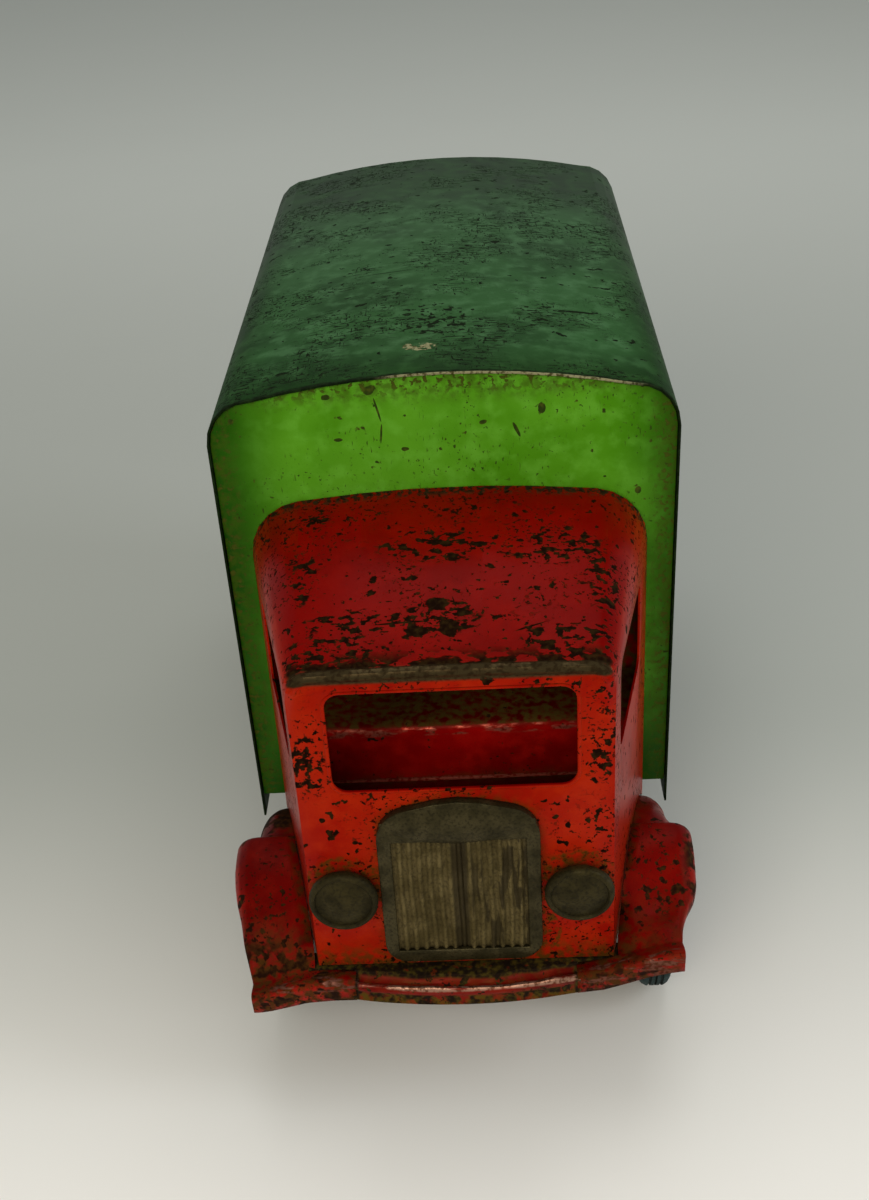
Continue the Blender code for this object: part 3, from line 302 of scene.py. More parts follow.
# %% Enamel coat
def patchy_coat(tree, place, paint, thin, deep):
    """The paint itself: wide patches of deeper colour, clouds of thinner paint, a fine grain."""
    drift = flecks(tree, place, 34, 0.38, 0.66)
    clouds = flecks(tree, place, 7, 0.42, 0.72, detail=5.0)
    grain = flecks(tree, place, 0.9, 0.56, 0.74, detail=2.0)
    return coats(tree, linear(paint), (drift, linear(deep)),
                 (faded(tree, clouds, 0.55), linear(thin)),
                 (faded(tree, grain, 0.30), linear(deep)))


def painted_shade_over(tree, place, colour, shade_tint, shade_tops, painted_shade_marks):
    """Painted shade: the paint times the shade tint, on top faces and on each shade mark."""
    normal = add(tree, "ShaderNodeNewGeometry").outputs["Normal"]
    upward = add(tree, "ShaderNodeMapRange", {"interpolation_type": "SMOOTHSTEP"},
                 {"Value": add(tree, "ShaderNodeSeparateXYZ", None, {0: normal}).outputs["Z"],
                  "From Min": 0.25, "From Max": 0.85}).outputs[0]
    where = combined(tree, "MAXIMUM", ([upward] if shade_tops else []) + made(painted_shade_marks, tree, place))
    shade_coloured = add(tree, "ShaderNodeMix", {"data_type": "RGBA", "blend_type": "MULTIPLY"},
               {0: 1.0, MIX_A: colour, MIX_B: linear(shade_tint)}).outputs[MIX_OUT]
    return coats(tree, colour, (where, shade_coloured))


# %% Dirt and lost paint
def dirt_and_painted_shade(tree, place, breakup, grime_and_shade_marks, soil_and_shade_share):
    """Dirt and painted shade in the corners, and the grime and shade marks, broken up."""
    # Darkening the creases paints shade as well as dirt.
    dirt_and_shade = combined(tree, "MULTIPLY", [creases_in_shade(tree, 7.0), breakup])
    if grime_and_shade_marks:
        grime_and_shade = combined(tree, "MAXIMUM", made(grime_and_shade_marks, tree, place))
        dirt_and_shade = combined(tree, "MAXIMUM", [dirt_and_shade, combined(tree, "MULTIPLY", [grime_and_shade, breakup])])
    return faded(tree, dirt_and_shade, soil_and_shade_share)


def lost_paint(tree, place, chips, streaks, rust_marks):
    """Chips and scratches. The three values of chips are the levels at which each kind starts."""
    few, many, scratch_level = chips
    crossways = (streaks[1], streaks[0], streaks[2])
    knocks = flecks(tree, place, 4.6, few, few + 0.02, detail=5.0)
    crowd = flecks(tree, place, 26, 0.42, 0.60)
    small = combined(tree, "MULTIPLY", [flecks(tree, place, 1.5, many, many + 0.03), crowd])
    lines = flecks(tree, place, 0.9, scratch_level, scratch_level + 0.06, streaks, detail=2.0)
    cross = flecks(tree, place, 0.8, scratch_level + 0.07, scratch_level + 0.11, crossways,
                   detail=2.0)
    scratched = combined(tree, "MULTIPLY", [combined(tree, "MAXIMUM", [lines, cross]), crowd])
    return combined(tree, "MAXIMUM", [knocks, small, scratched] + made(rust_marks, tree, place))


def worn_surface(tree, place, worn, bare_and_highlight, dirt_and_shade, gloss):
    """Roughness and bump: dull where paint is gone or dirty, and sunk by a coat's depth there."""
    rough = add(tree, "ShaderNodeMapRange", None,
                {"Value": combined(tree, "MAXIMUM", [worn, dirt_and_shade]), "To Min": gloss,
                 "To Max": 0.72}).outputs[0]
    ripple = add(tree, "ShaderNodeTexNoise", None,
                 {"Vector": place, "Scale": 1 / (1.4 * MM), "Detail": 3.0}).outputs[0]
    height = add(tree, "ShaderNodeMath", {"operation": "MULTIPLY_ADD"},
                 {0: combined(tree, "MAXIMUM", [worn, bare_and_highlight]), 1: -1.0,
                  2: faded(tree, ripple, 0.35)}).outputs[0]
    bump = add(tree, "ShaderNodeBump", None,
               {"Strength": 0.55, "Distance": 0.12 * MM, "Height": height}).outputs[0]
    return rough, bump


# %% Enamel builder
def worn_enamel(name, paint, thin, deep, chips, rust_marks=(), bare_and_highlight_marks=(), grime_and_shade_marks=(),
                painted_shade_marks=(), streaks=(4, 1, 1), soil_and_shade="#3A3210", rust="#1B1008",
                rust_light="#3E2410", metal="#8A7F6A", metal_dark="#4A3B26", gloss=0.38,
                soil_and_shade_share=0.6, edge=(0.0, 0.35), shade_tint="#FFFFFF", sheen=0.10, tint="#FFFFFF",
                shade_tops=True):
    """Enamel with its colour drift, dirt, chips, scratches, rubbed edges, and painted shade."""
    material, tree, shader, place = new_material(name)
    breakup = flecks(tree, place, 3.2, 0.36, 0.62, detail=4.0)
    dirt_and_shade = dirt_and_painted_shade(tree, place, breakup, grime_and_shade_marks, soil_and_shade_share)
    worn = lost_paint(tree, place, chips, streaks, rust_marks)
    rim = combined(tree, "MULTIPLY", [rubbed_edges(tree, 1.3, *edge), breakup])
    # Bare metal on rubbed edges and bare marks; some bare marks are painted highlights.
    bare_and_highlight = combined(tree, "MAXIMUM", [rim] + made(bare_and_highlight_marks, tree, place))
    rust_tone = coats(tree, linear(rust), (flecks(tree, place, 2.2, 0.40, 0.72, detail=6.0),
                                           linear(rust_light)))
    bare_and_highlight_tone = coats(tree, linear(metal), (flecks(tree, place, 1.8, 0.45, 0.62),
                                            linear(metal_dark)))
    paint_and_shade_tone = painted_shade_over(tree, place, patchy_coat(tree, place, paint, thin, deep), shade_tint, shade_tops,
                        painted_shade_marks)
    # The soil colour lies over dirt and painted shade alike.
    colour = coats(tree, paint_and_shade_tone, (dirt_and_shade, linear(soil_and_shade)), (worn, rust_tone), (bare_and_highlight, bare_and_highlight_tone))
    rough, bump = worn_surface(tree, place, worn, bare_and_highlight, dirt_and_shade, gloss)
    tree.links.new(colour, shader.inputs["Base Color"])
    tree.links.new(rough, shader.inputs["Roughness"])
    tree.links.new(faded(tree, bare_and_highlight, 0.65), shader.inputs["Metallic"])
    tree.links.new(bump, shader.inputs["Normal"])
    shader.inputs["Specular IOR Level"].default_value = sheen
    shader.inputs["Specular Tint"].default_value = linear(tint)
    print("enamel", name, "has", len(tree.nodes), "nodes")
    return material


# %% [markdown]
# ## Where the wear is
#
# Most wear comes from the patterns, but a few marks are in one place: the rub where the two
# pressings meet at the front of the roof, the crowded chips over the windscreen, the run of
# rust round the grille. A few placed marks are painted shade or painted highlights instead.
# Each is a small function that gives its mask, so that it can be handed to the enamel builder
# with the colours.


# %% Placed marks
def at_spot(middle, radii, ragged=0.45):
    return lambda tree, place: spot(tree, place, middle, radii, ragged)


def at_band(axis, start, full):
    return lambda tree, place: band(tree, place, axis, start, full)


def both(*marks):
    """Only where all of these marks lie."""
    return lambda tree, place: combined(tree, "MULTIPLY", [mark(tree, place) for mark in marks])


def broken(size, low, high, mark, stretch=(1, 1, 1)):
    """A mark broken up by an irregular pattern of that size."""
    return lambda tree, place: combined(
        tree, "MULTIPLY", [mark(tree, place), flecks(tree, place, size, low, high, stretch)])


def either(*marks):
    """Wherever any of these marks lies."""
    return lambda tree, place: combined(tree, "MAXIMUM", [mark(tree, place) for mark in marks])


def along_line(start, end, width, upright="Z"):
    """A scratch: one very long and thin spot from start to end, thin across and deep into the sheet.

    The spot's own axis that points up is Z on a roof and Y on an upright panel.
    """
    start, end = Vector(start), Vector(end)
    along = (end - start).to_track_quat("X", upright).to_euler()
    radii = ((end - start).length / 2, width, width * 4)
    return [lambda tree, place: spot(tree, place, (start + end) / 2, radii, 0.3, along)]


front_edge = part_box("body_shell")[0].y / MM
face_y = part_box("headlamp_left")[1].y / MM
print("body front at", round(front_edge, 1), "cab face at", round(face_y, 1))

# %% [markdown]
# ## The enamels of this lorry
#
# The body shell is a dark grey-green, its front panel a bright yellow-green, and the cab,
# wings and bumper orange-red. The inside of the cab is a deeper red that light has not faded.
# The chassis had the same red, now mostly hidden by dirt.

# %% Dark green enamel of the body shell
# Painted shadow: a dark line along the rolled front edge of the roof, in the rust colour.
roof_edge_painted_shadow = broken(3.0, 0.30, 0.55, at_band("Y", front_edge + 3.0, front_edge + 1.2))
cut_edge = at_band("Y", front_edge + 1.5, front_edge + 0.6)
roof_shoulder = at_band("Z", 215, 238)
# Painted shade: the roof's shoulders at the front, the back and the sides take the shade tint.
painted_shade_on_shoulders = [both(mark, roof_shoulder) for mark in (
    at_band("Y", -48, -84), at_band("Y", 80, 150),
    either(at_band("X", -64, -80), at_band("X", 64, 80)))]
bright_stretch = both(at_band("Y", front_edge + 0.7, front_edge + 0.3), at_band("X", -24, -12),
                      at_band("X", 76, 66), at_band("Z", 243, 247))
dark_green = worn_enamel(
    "dark_green_stoving_enamel", paint="#284E26", thin="#446C44", deep="#1C3C1A",
    sheen=0.09, tint="#98CC88", rust_light="#16240E",
    shade_tint="#98B480", painted_shade_marks=painted_shade_on_shoulders, shade_tops=False, edge=(-0.4, 0.0),
    chips=(0.655, 0.60, 0.565), streaks=(7, 1.0, 1), rust="#0A1206", soil_and_shade="#16280C",
    rust_marks=[at_spot((22.8, 55.3, 251.5), (2.6, 1.6, 6), 0.8),
                at_spot((51.6, -22.5, 251), (9, 1.2, 6), 0.8),
                broken(2.6, 0.53, 0.57, at_spot((-3, -34, 251.5), (14, 16, 6), 0.6)),
                roof_edge_painted_shadow, cut_edge] + along_line((-34, 22, 251), (-4, 24, 251.5), 0.4)
    + along_line((-9, 70, 251), (-10, 40, 251.5), 0.35),
    bare_and_highlight_marks=[broken(2.0, 0.44, 0.50, at_spot((-7.3, -60.0, 251.5), (7, 4, 6))), bright_stretch],
    metal="#8E8A68", metal_dark="#4A4428", gloss=0.42, soil_and_shade_share=0.85)

# %% Bright green enamel of the front panel
PANEL_FACE = -83.6
rim_soil = at_band("Z", 238, 248)
# place across and up the panel, half width, half height, raggedness
PANEL_STAINS = ((35.3, 237.4, 1.5, 2.8, 1.0), (-37.7, 228.2, 1.4, 0.7, 1.0),
                (-40.7, 245.0, 1.4, 1.0, 1.0), (-13.9, 223.4, 1.5, 0.8, 1.0),
                (14.6, 232.6, 1.4, 0.9, 1.0), (70.1, 202.6, 1.3, 1.6, 0.45),
                (-25.4, 246.5, 2.4, 2.8, 1.0))
# start and end across and up the panel, half width
PANEL_SCRATCHES = (((25.2, 232.0), (27.8, 226.0), 0.7), ((-24.0, 244.5), (-21.6, 234.0), 0.4),
                   ((-21.6, 234.0), (-22.4, 226.0), 0.4))
panel_marks = [at_spot((x, PANEL_FACE, z), (wide, 2, high), ragged)
               for x, z, wide, high, ragged in PANEL_STAINS]
for (x, z), (end_x, end_z), width in PANEL_SCRATCHES:
    panel_marks += along_line((x, PANEL_FACE, z), (end_x, PANEL_FACE, end_z), width, "Y")
panel_marks += [broken(2.2, 0.555, 0.59, either(at_band("Z", 241, 249), at_band("X", -72, -82),
                                                at_band("X", 72, 82)))]
bright_green = worn_enamel(
    "bright_green_stoving_enamel", paint="#4E8A18", thin="#5C9A2C", deep="#3E7808",
    # Painted shade: the panel takes the shade tint towards its foot and its sides, and the dark
    # green soil down its two sides is painted shade as well as dirt.
    shade_tint="#587F32",
    painted_shade_marks=[at_band("Z", 170, 70), at_band("X", -50, -84), at_band("X", 56, 92)],
    chips=(0.68, 0.65, 0.66), streaks=(1, 1, 5), rust="#22300A", soil_and_shade="#34480A",
    rust_light="#3E4410", tint="#C8F0A0", rust_marks=panel_marks,
    grime_and_shade_marks=[rim_soil, at_band("X", -72, -82), at_band("X", 72, 82)],
    metal="#A59C86", gloss=0.33, soil_and_shade_share=0.7)

# %% Marks on the cab's roof
bead_line = both(at_band("Y", face_y + 3.8, face_y + 2.6), at_band("Z", 182.3, 183.6))
behind_bead = both(at_band("Y", face_y + 12, face_y + 4), at_band("Z", 183, 185))
rear_rub = both(at_band("Y", -91, -87.5), at_band("Z", 150, 170))
crowded = [at_spot(middle, radii, 0.3) for middle, radii in (
    ((-2, -150, 194), (14, 9, 9)), ((-40, -163, 190), (20, 9, 9)), ((42, -162, 190), (20, 9, 9)),
    ((-49, -98, 208), (9, 7, 9)), ((54, -135, 196), (6, 22, 9)), ((38, -118, 202), (20, 10, 9)),
    ((-50, -128, 199), (5, 16, 9)), ((-4, -116, 203), (22, 9, 9)), ((-30, -150, 193), (20, 6, 9)))]
roof_chips = [broken(2.6, 0.525, 0.545, either(*crowded), (1.5, 1, 1))]
roof_chips += [at_spot((-3.5, -144, 196), (4.6, 3.4, 5), 0.8),
               at_spot((0.5, -155, 192.6), (3.4, 4, 5), 0.8),
               at_spot((-10, -156, 192.6), (4.5, 2.6, 5), 0.8),
               at_spot((-48.8, -96.3, 208.5), (4.5, 2.4, 6), 0.7),
               broken(2.1, 0.65, 0.67, at_band("Z", 182, 186)),
               broken(4.2, 0.47, 0.51, behind_bead, (2, 1, 1))]
fine_lines = (along_line((-6, -122, 202), (0.5, -136, 198), 0.5)
              + along_line((0.5, -136, 198), (4, -149, 194.5), 0.5)
              + along_line((-30, -152, 193.5), (-2, -151, 194), 0.6)
              + along_line((20, -158, 192), (38, -151, 194), 0.6))
# %% Orange-red enamel of the cab
face_rust = [broken(3.2, 0.49, 0.55, at_spot((-49.3, face_y, 151), (6, 5, 12))),
             broken(2.6, 0.54, 0.58, at_spot((50.0, face_y, 156), (5, 5, 16))),
             at_spot((-46.5, face_y, 127), (1.2, 3, 1.2), 0.8),
             at_spot((-36.0, face_y, 116.3), (1.2, 3, 1.0), 0.8),
             at_spot((38.0, face_y, 120.9), (1.0, 3, 1.3), 0.8),
             at_spot((44.8, face_y, 122.8), (1.2, 3, 0.8), 0.8)]
lamp_soil = [broken(2.6, 0.36, 0.46, at_spot((side * 41.5, face_y, 95), (15.4, 5, 15.6), 0.2))
             for side in (-1, 1)]
foot_rust = [broken(3.0, 0.44, 0.52, at_band("Z", 68, 60)),
             broken(2.6, 0.42, 0.50, at_spot((30.5, face_y, 70), (5, 5, 12)))]
arch_line = both(at_spot((0, face_y, 105), (30.5, 6, 32.4), 0.1), at_band("Z", 112, 120))
cab_red = worn_enamel(
    "orange_red_stoving_enamel", paint="#941A06", thin="#A02408", deep="#840C03",
    # Painted shade: the cab's top faces take the shade tint, darker than its face.
    shade_tint="#C4523A", tint="#FF6848", sheen=0.07,
    chips=(0.64, 0.60, 0.65), streaks=(4, 4, 1), rust="#0C0602", rust_light="#241A08",
    soil_and_shade="#44300A",
    rust_marks=roof_chips + fine_lines + face_rust,
    bare_and_highlight_marks=[bead_line, at_spot((54.9, -148.1, 194.6), (1.8, 2.8, 4), 0.3),
                broken(2.0, 0.46, 0.54, rear_rub)],
    grime_and_shade_marks=lamp_soil + foot_rust + [arch_line, at_band("Z", 72, 58)],
    metal="#38301E", metal_dark="#2A2214", gloss=0.30, soil_and_shade_share=0.9)

# %% Deep red enamel inside the cab, and the chassis red
seat_top = [both(at_band("Z", 125.6, 126.4), at_band("Z", 131, 128)),
            both(at_band("Y", -100, -92), at_band("Z", 126, 127))]
# Painted highlights: a pink line on the seat's rolled front edge and one on the crease at the foot
# of its riser, laid in as bare marks.
seat_roll_highlight = both(at_band("Y", -118.2, -119.2), at_band("Z", 122.2, 123.6),
                 at_band("Z", 126.4, 125.4))
sole_crease_highlight = at_spot((0, -120.4, 102.4), (70, 1.6, 0.9), 0.2)
inner_red = worn_enamel(
    "deep_red_stoving_enamel", paint="#8E0404", thin="#981008", deep="#6A0202",
    chips=(0.70, 0.66, 0.76), rust="#1A0D05", rust_light="#2C2008", soil_and_shade="#3A300E",
    # Its top faces take an olive shade tint: painted shade under the roof, and dust. Its pink metal
    # colours serve both the bare edges and the painted highlights.
    tint="#FF9078", shade_tint="#786840",
    bare_and_highlight_marks=[broken(2.6, 0.44, 0.66, seat_roll_highlight, (3, 1, 1)), sole_crease_highlight],
    grime_and_shade_marks=seat_top, metal="#9A5040", metal_dark="#7A2418", gloss=0.30, soil_and_shade_share=0.9)
chassis_red = worn_enamel(
    "dirty_red_stoving_enamel", paint="#6E120A", thin="#7C2214", deep="#4E0A06",
    chips=(0.62, 0.60, 0.70), rust="#1B0E06", soil_and_shade="#33260C",
    metal="#6E6252", gloss=0.5, soil_and_shade_share=0.95)

# %% Orange-red enamel of the wings
rust_low = [broken(6.0, 0.50, 0.60, at_band("Z", 68, 57)),
            broken(3.0, 0.56, 0.60, at_spot((-70, -165, 62), (16, 14, 12)))]
wing_lip = both(at_band("Y", -177.6, -178.6), at_band("Z", 53.5, 54.5))
# The band along the right-hand outer side, x 80 to 86, is painted shade on the turned-down shoulder,
# laid in the rust colour; the dent's rust and the crack are wear.
right_wear_and_shade = [broken(6.0, 0.44, 0.56, at_band("X", 80, 86)),
              broken(3.4, 0.54, 0.60, at_spot((70, -150, 74), (18, 18, 14)))]
right_wear_and_shade += along_line((66, -150, 80), (74, -164, 70), 0.9)
wing_red = worn_enamel(
    "wing_orange_red_stoving_enamel", paint="#8A100A", thin="#962414", deep="#6E0804",
    # Painted shade: the top faces of the wings and mudguards take the shade tint.
    shade_tint="#C88878", tint="#FF9078",
    chips=(0.64, 0.61, 0.70), streaks=(1, 3, 2), rust="#160A04", rust_light="#34200A",
    soil_and_shade="#3A260A", rust_marks=rust_low + right_wear_and_shade + [
        # Painted shade and rust: the large dark patch over the left mudguard, on the shaded side.
        broken(7.0, 0.36, 0.50, at_spot((-74, -98, 66), (16, 22, 20), 0.2))],
    bare_and_highlight_marks=[broken(2.6, 0.48, 0.58, wing_lip, (5, 1, 1))],
    grime_and_shade_marks=[at_band("Z", 72, 56)], metal="#6A4438", metal_dark="#4A2A1A", gloss=0.32,
    soil_and_shade_share=0.95)

# %% [markdown]
# ## Enamel of the bumper
#
# The bumper has lost most of its paint: its ledge is brown with rust, the ridge is rubbed to
# bare metal that shines, and the flange under it is dirty. These run along the bow, so a
# mark's place is straightened before it is worked out.

# %% Marks that follow the bumper's bow
BUMPER_BOW = 4.0
BUMPER_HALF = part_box("front_bumper")[1].x / MM


def along_bow(mark):
    """A mark whose y follows the bumper's bow instead of running straight."""
    def straightened(tree, place):
        parts = add(tree, "ShaderNodeSeparateXYZ", None, {0: place})
        x, y, z = (parts.outputs[axis] for axis in "XYZ")
        half = add(tree, "ShaderNodeMath", {"operation": "ABSOLUTE"}, {0: x}).outputs[0]
        square = add(tree, "ShaderNodeMath", {"operation": "POWER"}, {0: half, 1: 2.0}).outputs[0]
        depth = add(tree, "ShaderNodeMath", {"operation": "MULTIPLY_ADD"},
                    {0: square, 1: -BUMPER_BOW * MM / (BUMPER_HALF * MM) ** 2, 2: y}).outputs[0]
        straight = add(tree, "ShaderNodeCombineXYZ", None, {0: x, 1: depth, 2: z}).outputs[0]
        return mark(tree, straight)
    return straightened


# %% Worn enamel of the bumper
bumper_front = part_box("front_bumper")[0].y / MM
ledge = along_bow(at_band("Y", bumper_front + 5.4, bumper_front + 6.2))
ridge = along_bow(both(at_band("Y", bumper_front + 3.1, bumper_front + 2.5),
                       at_band("Z", 55.6, 56.6)))
flange = at_band("Z", 54.2, 53.2)
bumper_red = worn_enamel(
    "bumper_orange_red_stoving_enamel", paint="#6C0E08", thin="#7E2412", deep="#500804",
    tint="#FFA890", chips=(0.62, 0.60, 0.66), streaks=(4, 1, 1), rust="#14100A",
    rust_light="#3E3410", soil_and_shade="#463A0E",
    rust_marks=[broken(3.4, 0.24, 0.44, ledge), broken(4.0, 0.42, 0.56, flange),
                at_band("X", -38.6, -39.8), at_band("X", 38.6, 39.8)],
    bare_and_highlight_marks=[broken(2.2, 0.34, 0.48, ridge, (5, 1, 1))],
    grime_and_shade_marks=[ledge, flange], metal="#94705E", metal_dark="#5E3C2C", gloss=0.34, soil_and_shade_share=0.9)

# %% [markdown]
# ## Tarnished steel, bare steel and rubber
#
# The grille and the lamps were tin-plated steel. The bright plate has gone dull and
# grey-brown, darker in the hollows, where tarnish gathers and painted shade lies. The axles
# are drawn steel wire with a little rust. The tyres are solid black rubber, hardened, with
# chalky dust in the mould texture; their blue-green tint is painted cool window light.


# %% Metals and rubber
def tarnished_metal(name, bright, shade_coloured, dark, metallic, roughness, pitting, dark_marks=()):
    """Old plated steel: tarnish patches, pits, and hollows dark with tarnish and painted shade."""
    material, tree, shader, place = new_material(name)
    patches = flecks(tree, place, 9, 0.35, 0.65, detail=5.0)
    fine = flecks(tree, place, 1.1, 0.45, 0.70, detail=4.0)
    rubbed = combined(tree, "MULTIPLY", [rubbed_edges(tree, 0.9, 0.0, 0.4),
                                         flecks(tree, place, 2.5, 0.40, 0.60)])
    stains = [(faded(tree, mask, 0.75), linear(dark)) for mask in made(dark_marks, tree, place)]
    colour = coats(tree, linear(bright), (patches, linear(shade_coloured)),
                   (faded(tree, fine, 0.6), linear(dark)),
                   # The hollows darken with tarnish and with painted shade.
                   (faded(tree, creases_in_shade(tree, 3.0), 0.85), linear(dark)), *stains,
                   (faded(tree, rubbed, 0.5), linear(bright)))
    pits = flecks(tree, place, pitting, 0.30, 0.70, detail=4.0)
    rough = add(tree, "ShaderNodeMapRange", None,
                {"Value": patches, "To Min": roughness, "To Max": roughness + 0.22}).outputs[0]
    bump = add(tree, "ShaderNodeBump", None,
               {"Strength": 0.5, "Distance": 0.10 * MM, "Height": pits}).outputs[0]
    tree.links.new(colour, shader.inputs["Base Color"])
    tree.links.new(rough, shader.inputs["Roughness"])
    tree.links.new(bump, shader.inputs["Normal"])
    shader.inputs["Metallic"].default_value = metallic
    shader.inputs["Specular Tint"].default_value = linear("#E8DCB8")
    shader.inputs["Specular IOR Level"].default_value = 0.16
    print("metal", name, "has", len(tree.nodes), "nodes")
    return material


core_tin = tarnished_metal("tarnished_tin_plate", "#5C5030", "#463C20", "#1E180C", 0.10, 0.52, 0.8,
                           [both(at_band("X", -3.4, -2.2), at_band("X", 3.0, 1.8)),
                            broken(3.0, 0.52, 0.60, at_band("X", -6, 10), (1, 1, 6))])
grille_tin = tarnished_metal("darkened_tin_plate", "#3A3420", "#242010", "#0E0C05", 0.35, 0.22, 0.9)
lamp_tin = tarnished_metal("dull_tin_plate", "#2E2812", "#1E1A0A", "#0A0803", 0.20, 0.42, 0.9)
bare_steel = tarnished_metal("drawn_steel_wire", "#9C968A", "#7A6C58", "#3C2C1C", 0.85, 0.32, 0.5)
# Painted light: the black rubber is tinted blue-green for the cool window light on it.
tyre_rubber = tarnished_metal("hardened_black_rubber_painted_cool_light", "#26383A", "#182829", "#0B1213",
                              0.0, 0.62, 0.6)

# %% [markdown]
# ## Pressings with soft edges
#
# Sheet steel is never sharp: a press leaves a small radius at each fold and a cut edge is
# tumbled. Each CAD node is copied, its loose triangles are merged into one skin, flat areas
# are made one face again, and a bevel of about a quarter of a millimetre goes on every edge.


# %% Copy and soften the CAD pressings
def only(piece):
    """Selects one piece and makes it active."""
    bpy.ops.object.select_all(action="DESELECT")
    piece.select_set(True)
    bpy.context.view_layer.objects.active = piece


def merged_copy(node, name):
    """A copy of a CAD node as its own piece, one closed skin with flat areas made whole."""
    only(nodes[node])
    bpy.ops.object.duplicate()
    piece = bpy.context.object
    piece.parent = None
    piece.name = name
    piece.data.name = name
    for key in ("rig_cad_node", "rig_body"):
        del piece[key]
    bpy.ops.object.mode_set(mode="EDIT")
    bpy.ops.mesh.select_all(action="SELECT")
    bpy.ops.mesh.remove_doubles(threshold=0.002 * MM)
    bpy.ops.mesh.dissolve_limited(angle_limit=math.radians(0.6))
    bpy.ops.object.mode_set(mode="OBJECT")
    return piece


def modify(piece, kind, **settings):
    """Adds a modifier with its settings and applies it."""
    only(piece)
    modifier = piece.modifiers.new(kind.lower(), kind)
    for name, value in settings.items():
        setattr(modifier, name, value)
    bpy.ops.object.modifier_apply(modifier=modifier.name)


def smooth(piece, degrees=40):
    """Shades a piece smooth, except over edges sharper than that."""
    only(piece)
    bpy.ops.object.shade_smooth_by_angle(angle=math.radians(degrees))


def soften(piece, radius, fold=32, segments=2):
    """Rounds every edge sharper than fold degrees, and shades the rest smooth."""
    modify(piece, "BEVEL", width=radius * MM, segments=segments, limit_method="ANGLE",
           angle_limit=math.radians(fold), use_clamp_overlap=True)
    smooth(piece)


# %% Fitting a finished piece
def fit(piece, material, slot, *replaced):
    """Gives a piece its finish, sets it on its body, and hides the CAD nodes it stands for."""
    piece.data.materials.clear()
    piece.data.materials.append(material)
    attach(piece, body_of[replaced[0]])
    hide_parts(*replaced)
    print(piece.name, len(piece.data.polygons), "faces")


def fit_extra(piece, material):
    """The same for a piece of the chassis that stands for no CAD node."""
    piece.data.materials.append(material)
    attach(piece, "chassis")
    print(piece.name, len(piece.data.polygons), "faces")


# %% Plain pressings and their finishes
body_of = {name: obj["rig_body"] for name, obj in nodes.items()}
FINISHES = {
    "dark_green_enamel": (dark_green, ("body_shell", "body_rear_header", "tailgate",
                                       "hinge_lug_left", "hinge_lug_right")),
    "bright_green_enamel": (bright_green, ("body_front_panel",)),
    "red_enamel": (cab_red, ("cab_shell",)),
    "inner_red_enamel": (inner_red, ("cab_seat",)),
    "chassis_red_enamel": (chassis_red, (
        "body_floor", "chassis_rail_left", "chassis_rail_right", "crossmember_front",
        "crossmember_middle", "crossmember_rear", "front_hanger_left", "front_hanger_right",
        "rear_hanger_left", "rear_hanger_right")),
    "bare_steel": (bare_steel, ("front_axle", "rear_axle", "tipping_hinge_pin",
                                "tailgate_pivot_left", "tailgate_pivot_right",
                                "axle_cap_front_left", "axle_cap_front_right",
                                "axle_cap_rear_left", "axle_cap_rear_right")),
}
for slot, (material, names) in FINISHES.items():
    for name in names:
        piece = merged_copy(name, "worn_" + name)
        soften(piece, 0.22)
        fit(piece, material, slot, name)

# %% [markdown]
# ## Headlamps
#
# Each lamp is a round tin pressing on a short stem: a rolled rim, a shallow groove inside it
# and a slightly domed front. A turned shape could be a profile and a Screw modifier. Here a
# disc is extruded ring by ring, which is the same as spinning it up on a lathe, once for each
# side, and each lamp is knocked slightly out of line.


# %% Turning ring by ring
AXES = {"X": (Vector((1, 0, 0)), (0, math.pi / 2, 0)),
        "Y": (Vector((0, -1, 0)), (math.pi / 2, 0, 0))}


def turned(name, rings, middle, axis, sides=72, hollow=False):
    """A round piece, ring by ring. Each ring is its radius and its place along the axis, in mm."""
    along, rotation = AXES[axis]
    middle = Vector(middle)
    radius, reach = rings[0]
    bpy.ops.object.select_all(action="DESELECT")
    bpy.ops.mesh.primitive_circle_add(
        vertices=sides, radius=radius * MM, fill_type="NOTHING" if hollow else "NGON",
        location=(middle + along * reach) * MM, rotation=rotation)
    piece = bpy.context.object
    piece.name = name
    piece.data.name = name
    bpy.ops.object.mode_set(mode="EDIT")
    bpy.ops.mesh.select_all(action="SELECT")
    for next_radius, next_reach in rings[1:]:
        bpy.ops.mesh.extrude_region_move()
        bpy.ops.transform.translate(value=along * (next_reach - reach) * MM)
        share = next_radius / radius
        bpy.ops.transform.resize(value=(share, share, share),
                                 center_override=(middle + along * next_reach) * MM)
        radius, reach = next_radius, next_reach
    bpy.ops.mesh.select_all(action="SELECT")
    bpy.ops.mesh.remove_doubles(threshold=0.005 * MM)
    bpy.ops.mesh.normals_make_consistent(inside=False)
    bpy.ops.object.mode_set(mode="OBJECT")
    settle(piece)
    return piece


def settle(piece):
    """Puts a piece's place into its mesh, so that its object sits at the origin."""
    only(piece)
    bpy.ops.object.transform_apply(location=True, rotation=True, scale=True)


def tilt(piece, degrees, axis, centre):
    """Turns a finished piece a little about a point, in its mesh."""
    only(piece)
    bpy.ops.object.mode_set(mode="EDIT")
    bpy.ops.mesh.select_all(action="SELECT")
    bpy.ops.transform.rotate(value=math.radians(degrees), orient_axis=axis,
                             center_override=Vector(centre) * MM)
    bpy.ops.object.mode_set(mode="OBJECT")


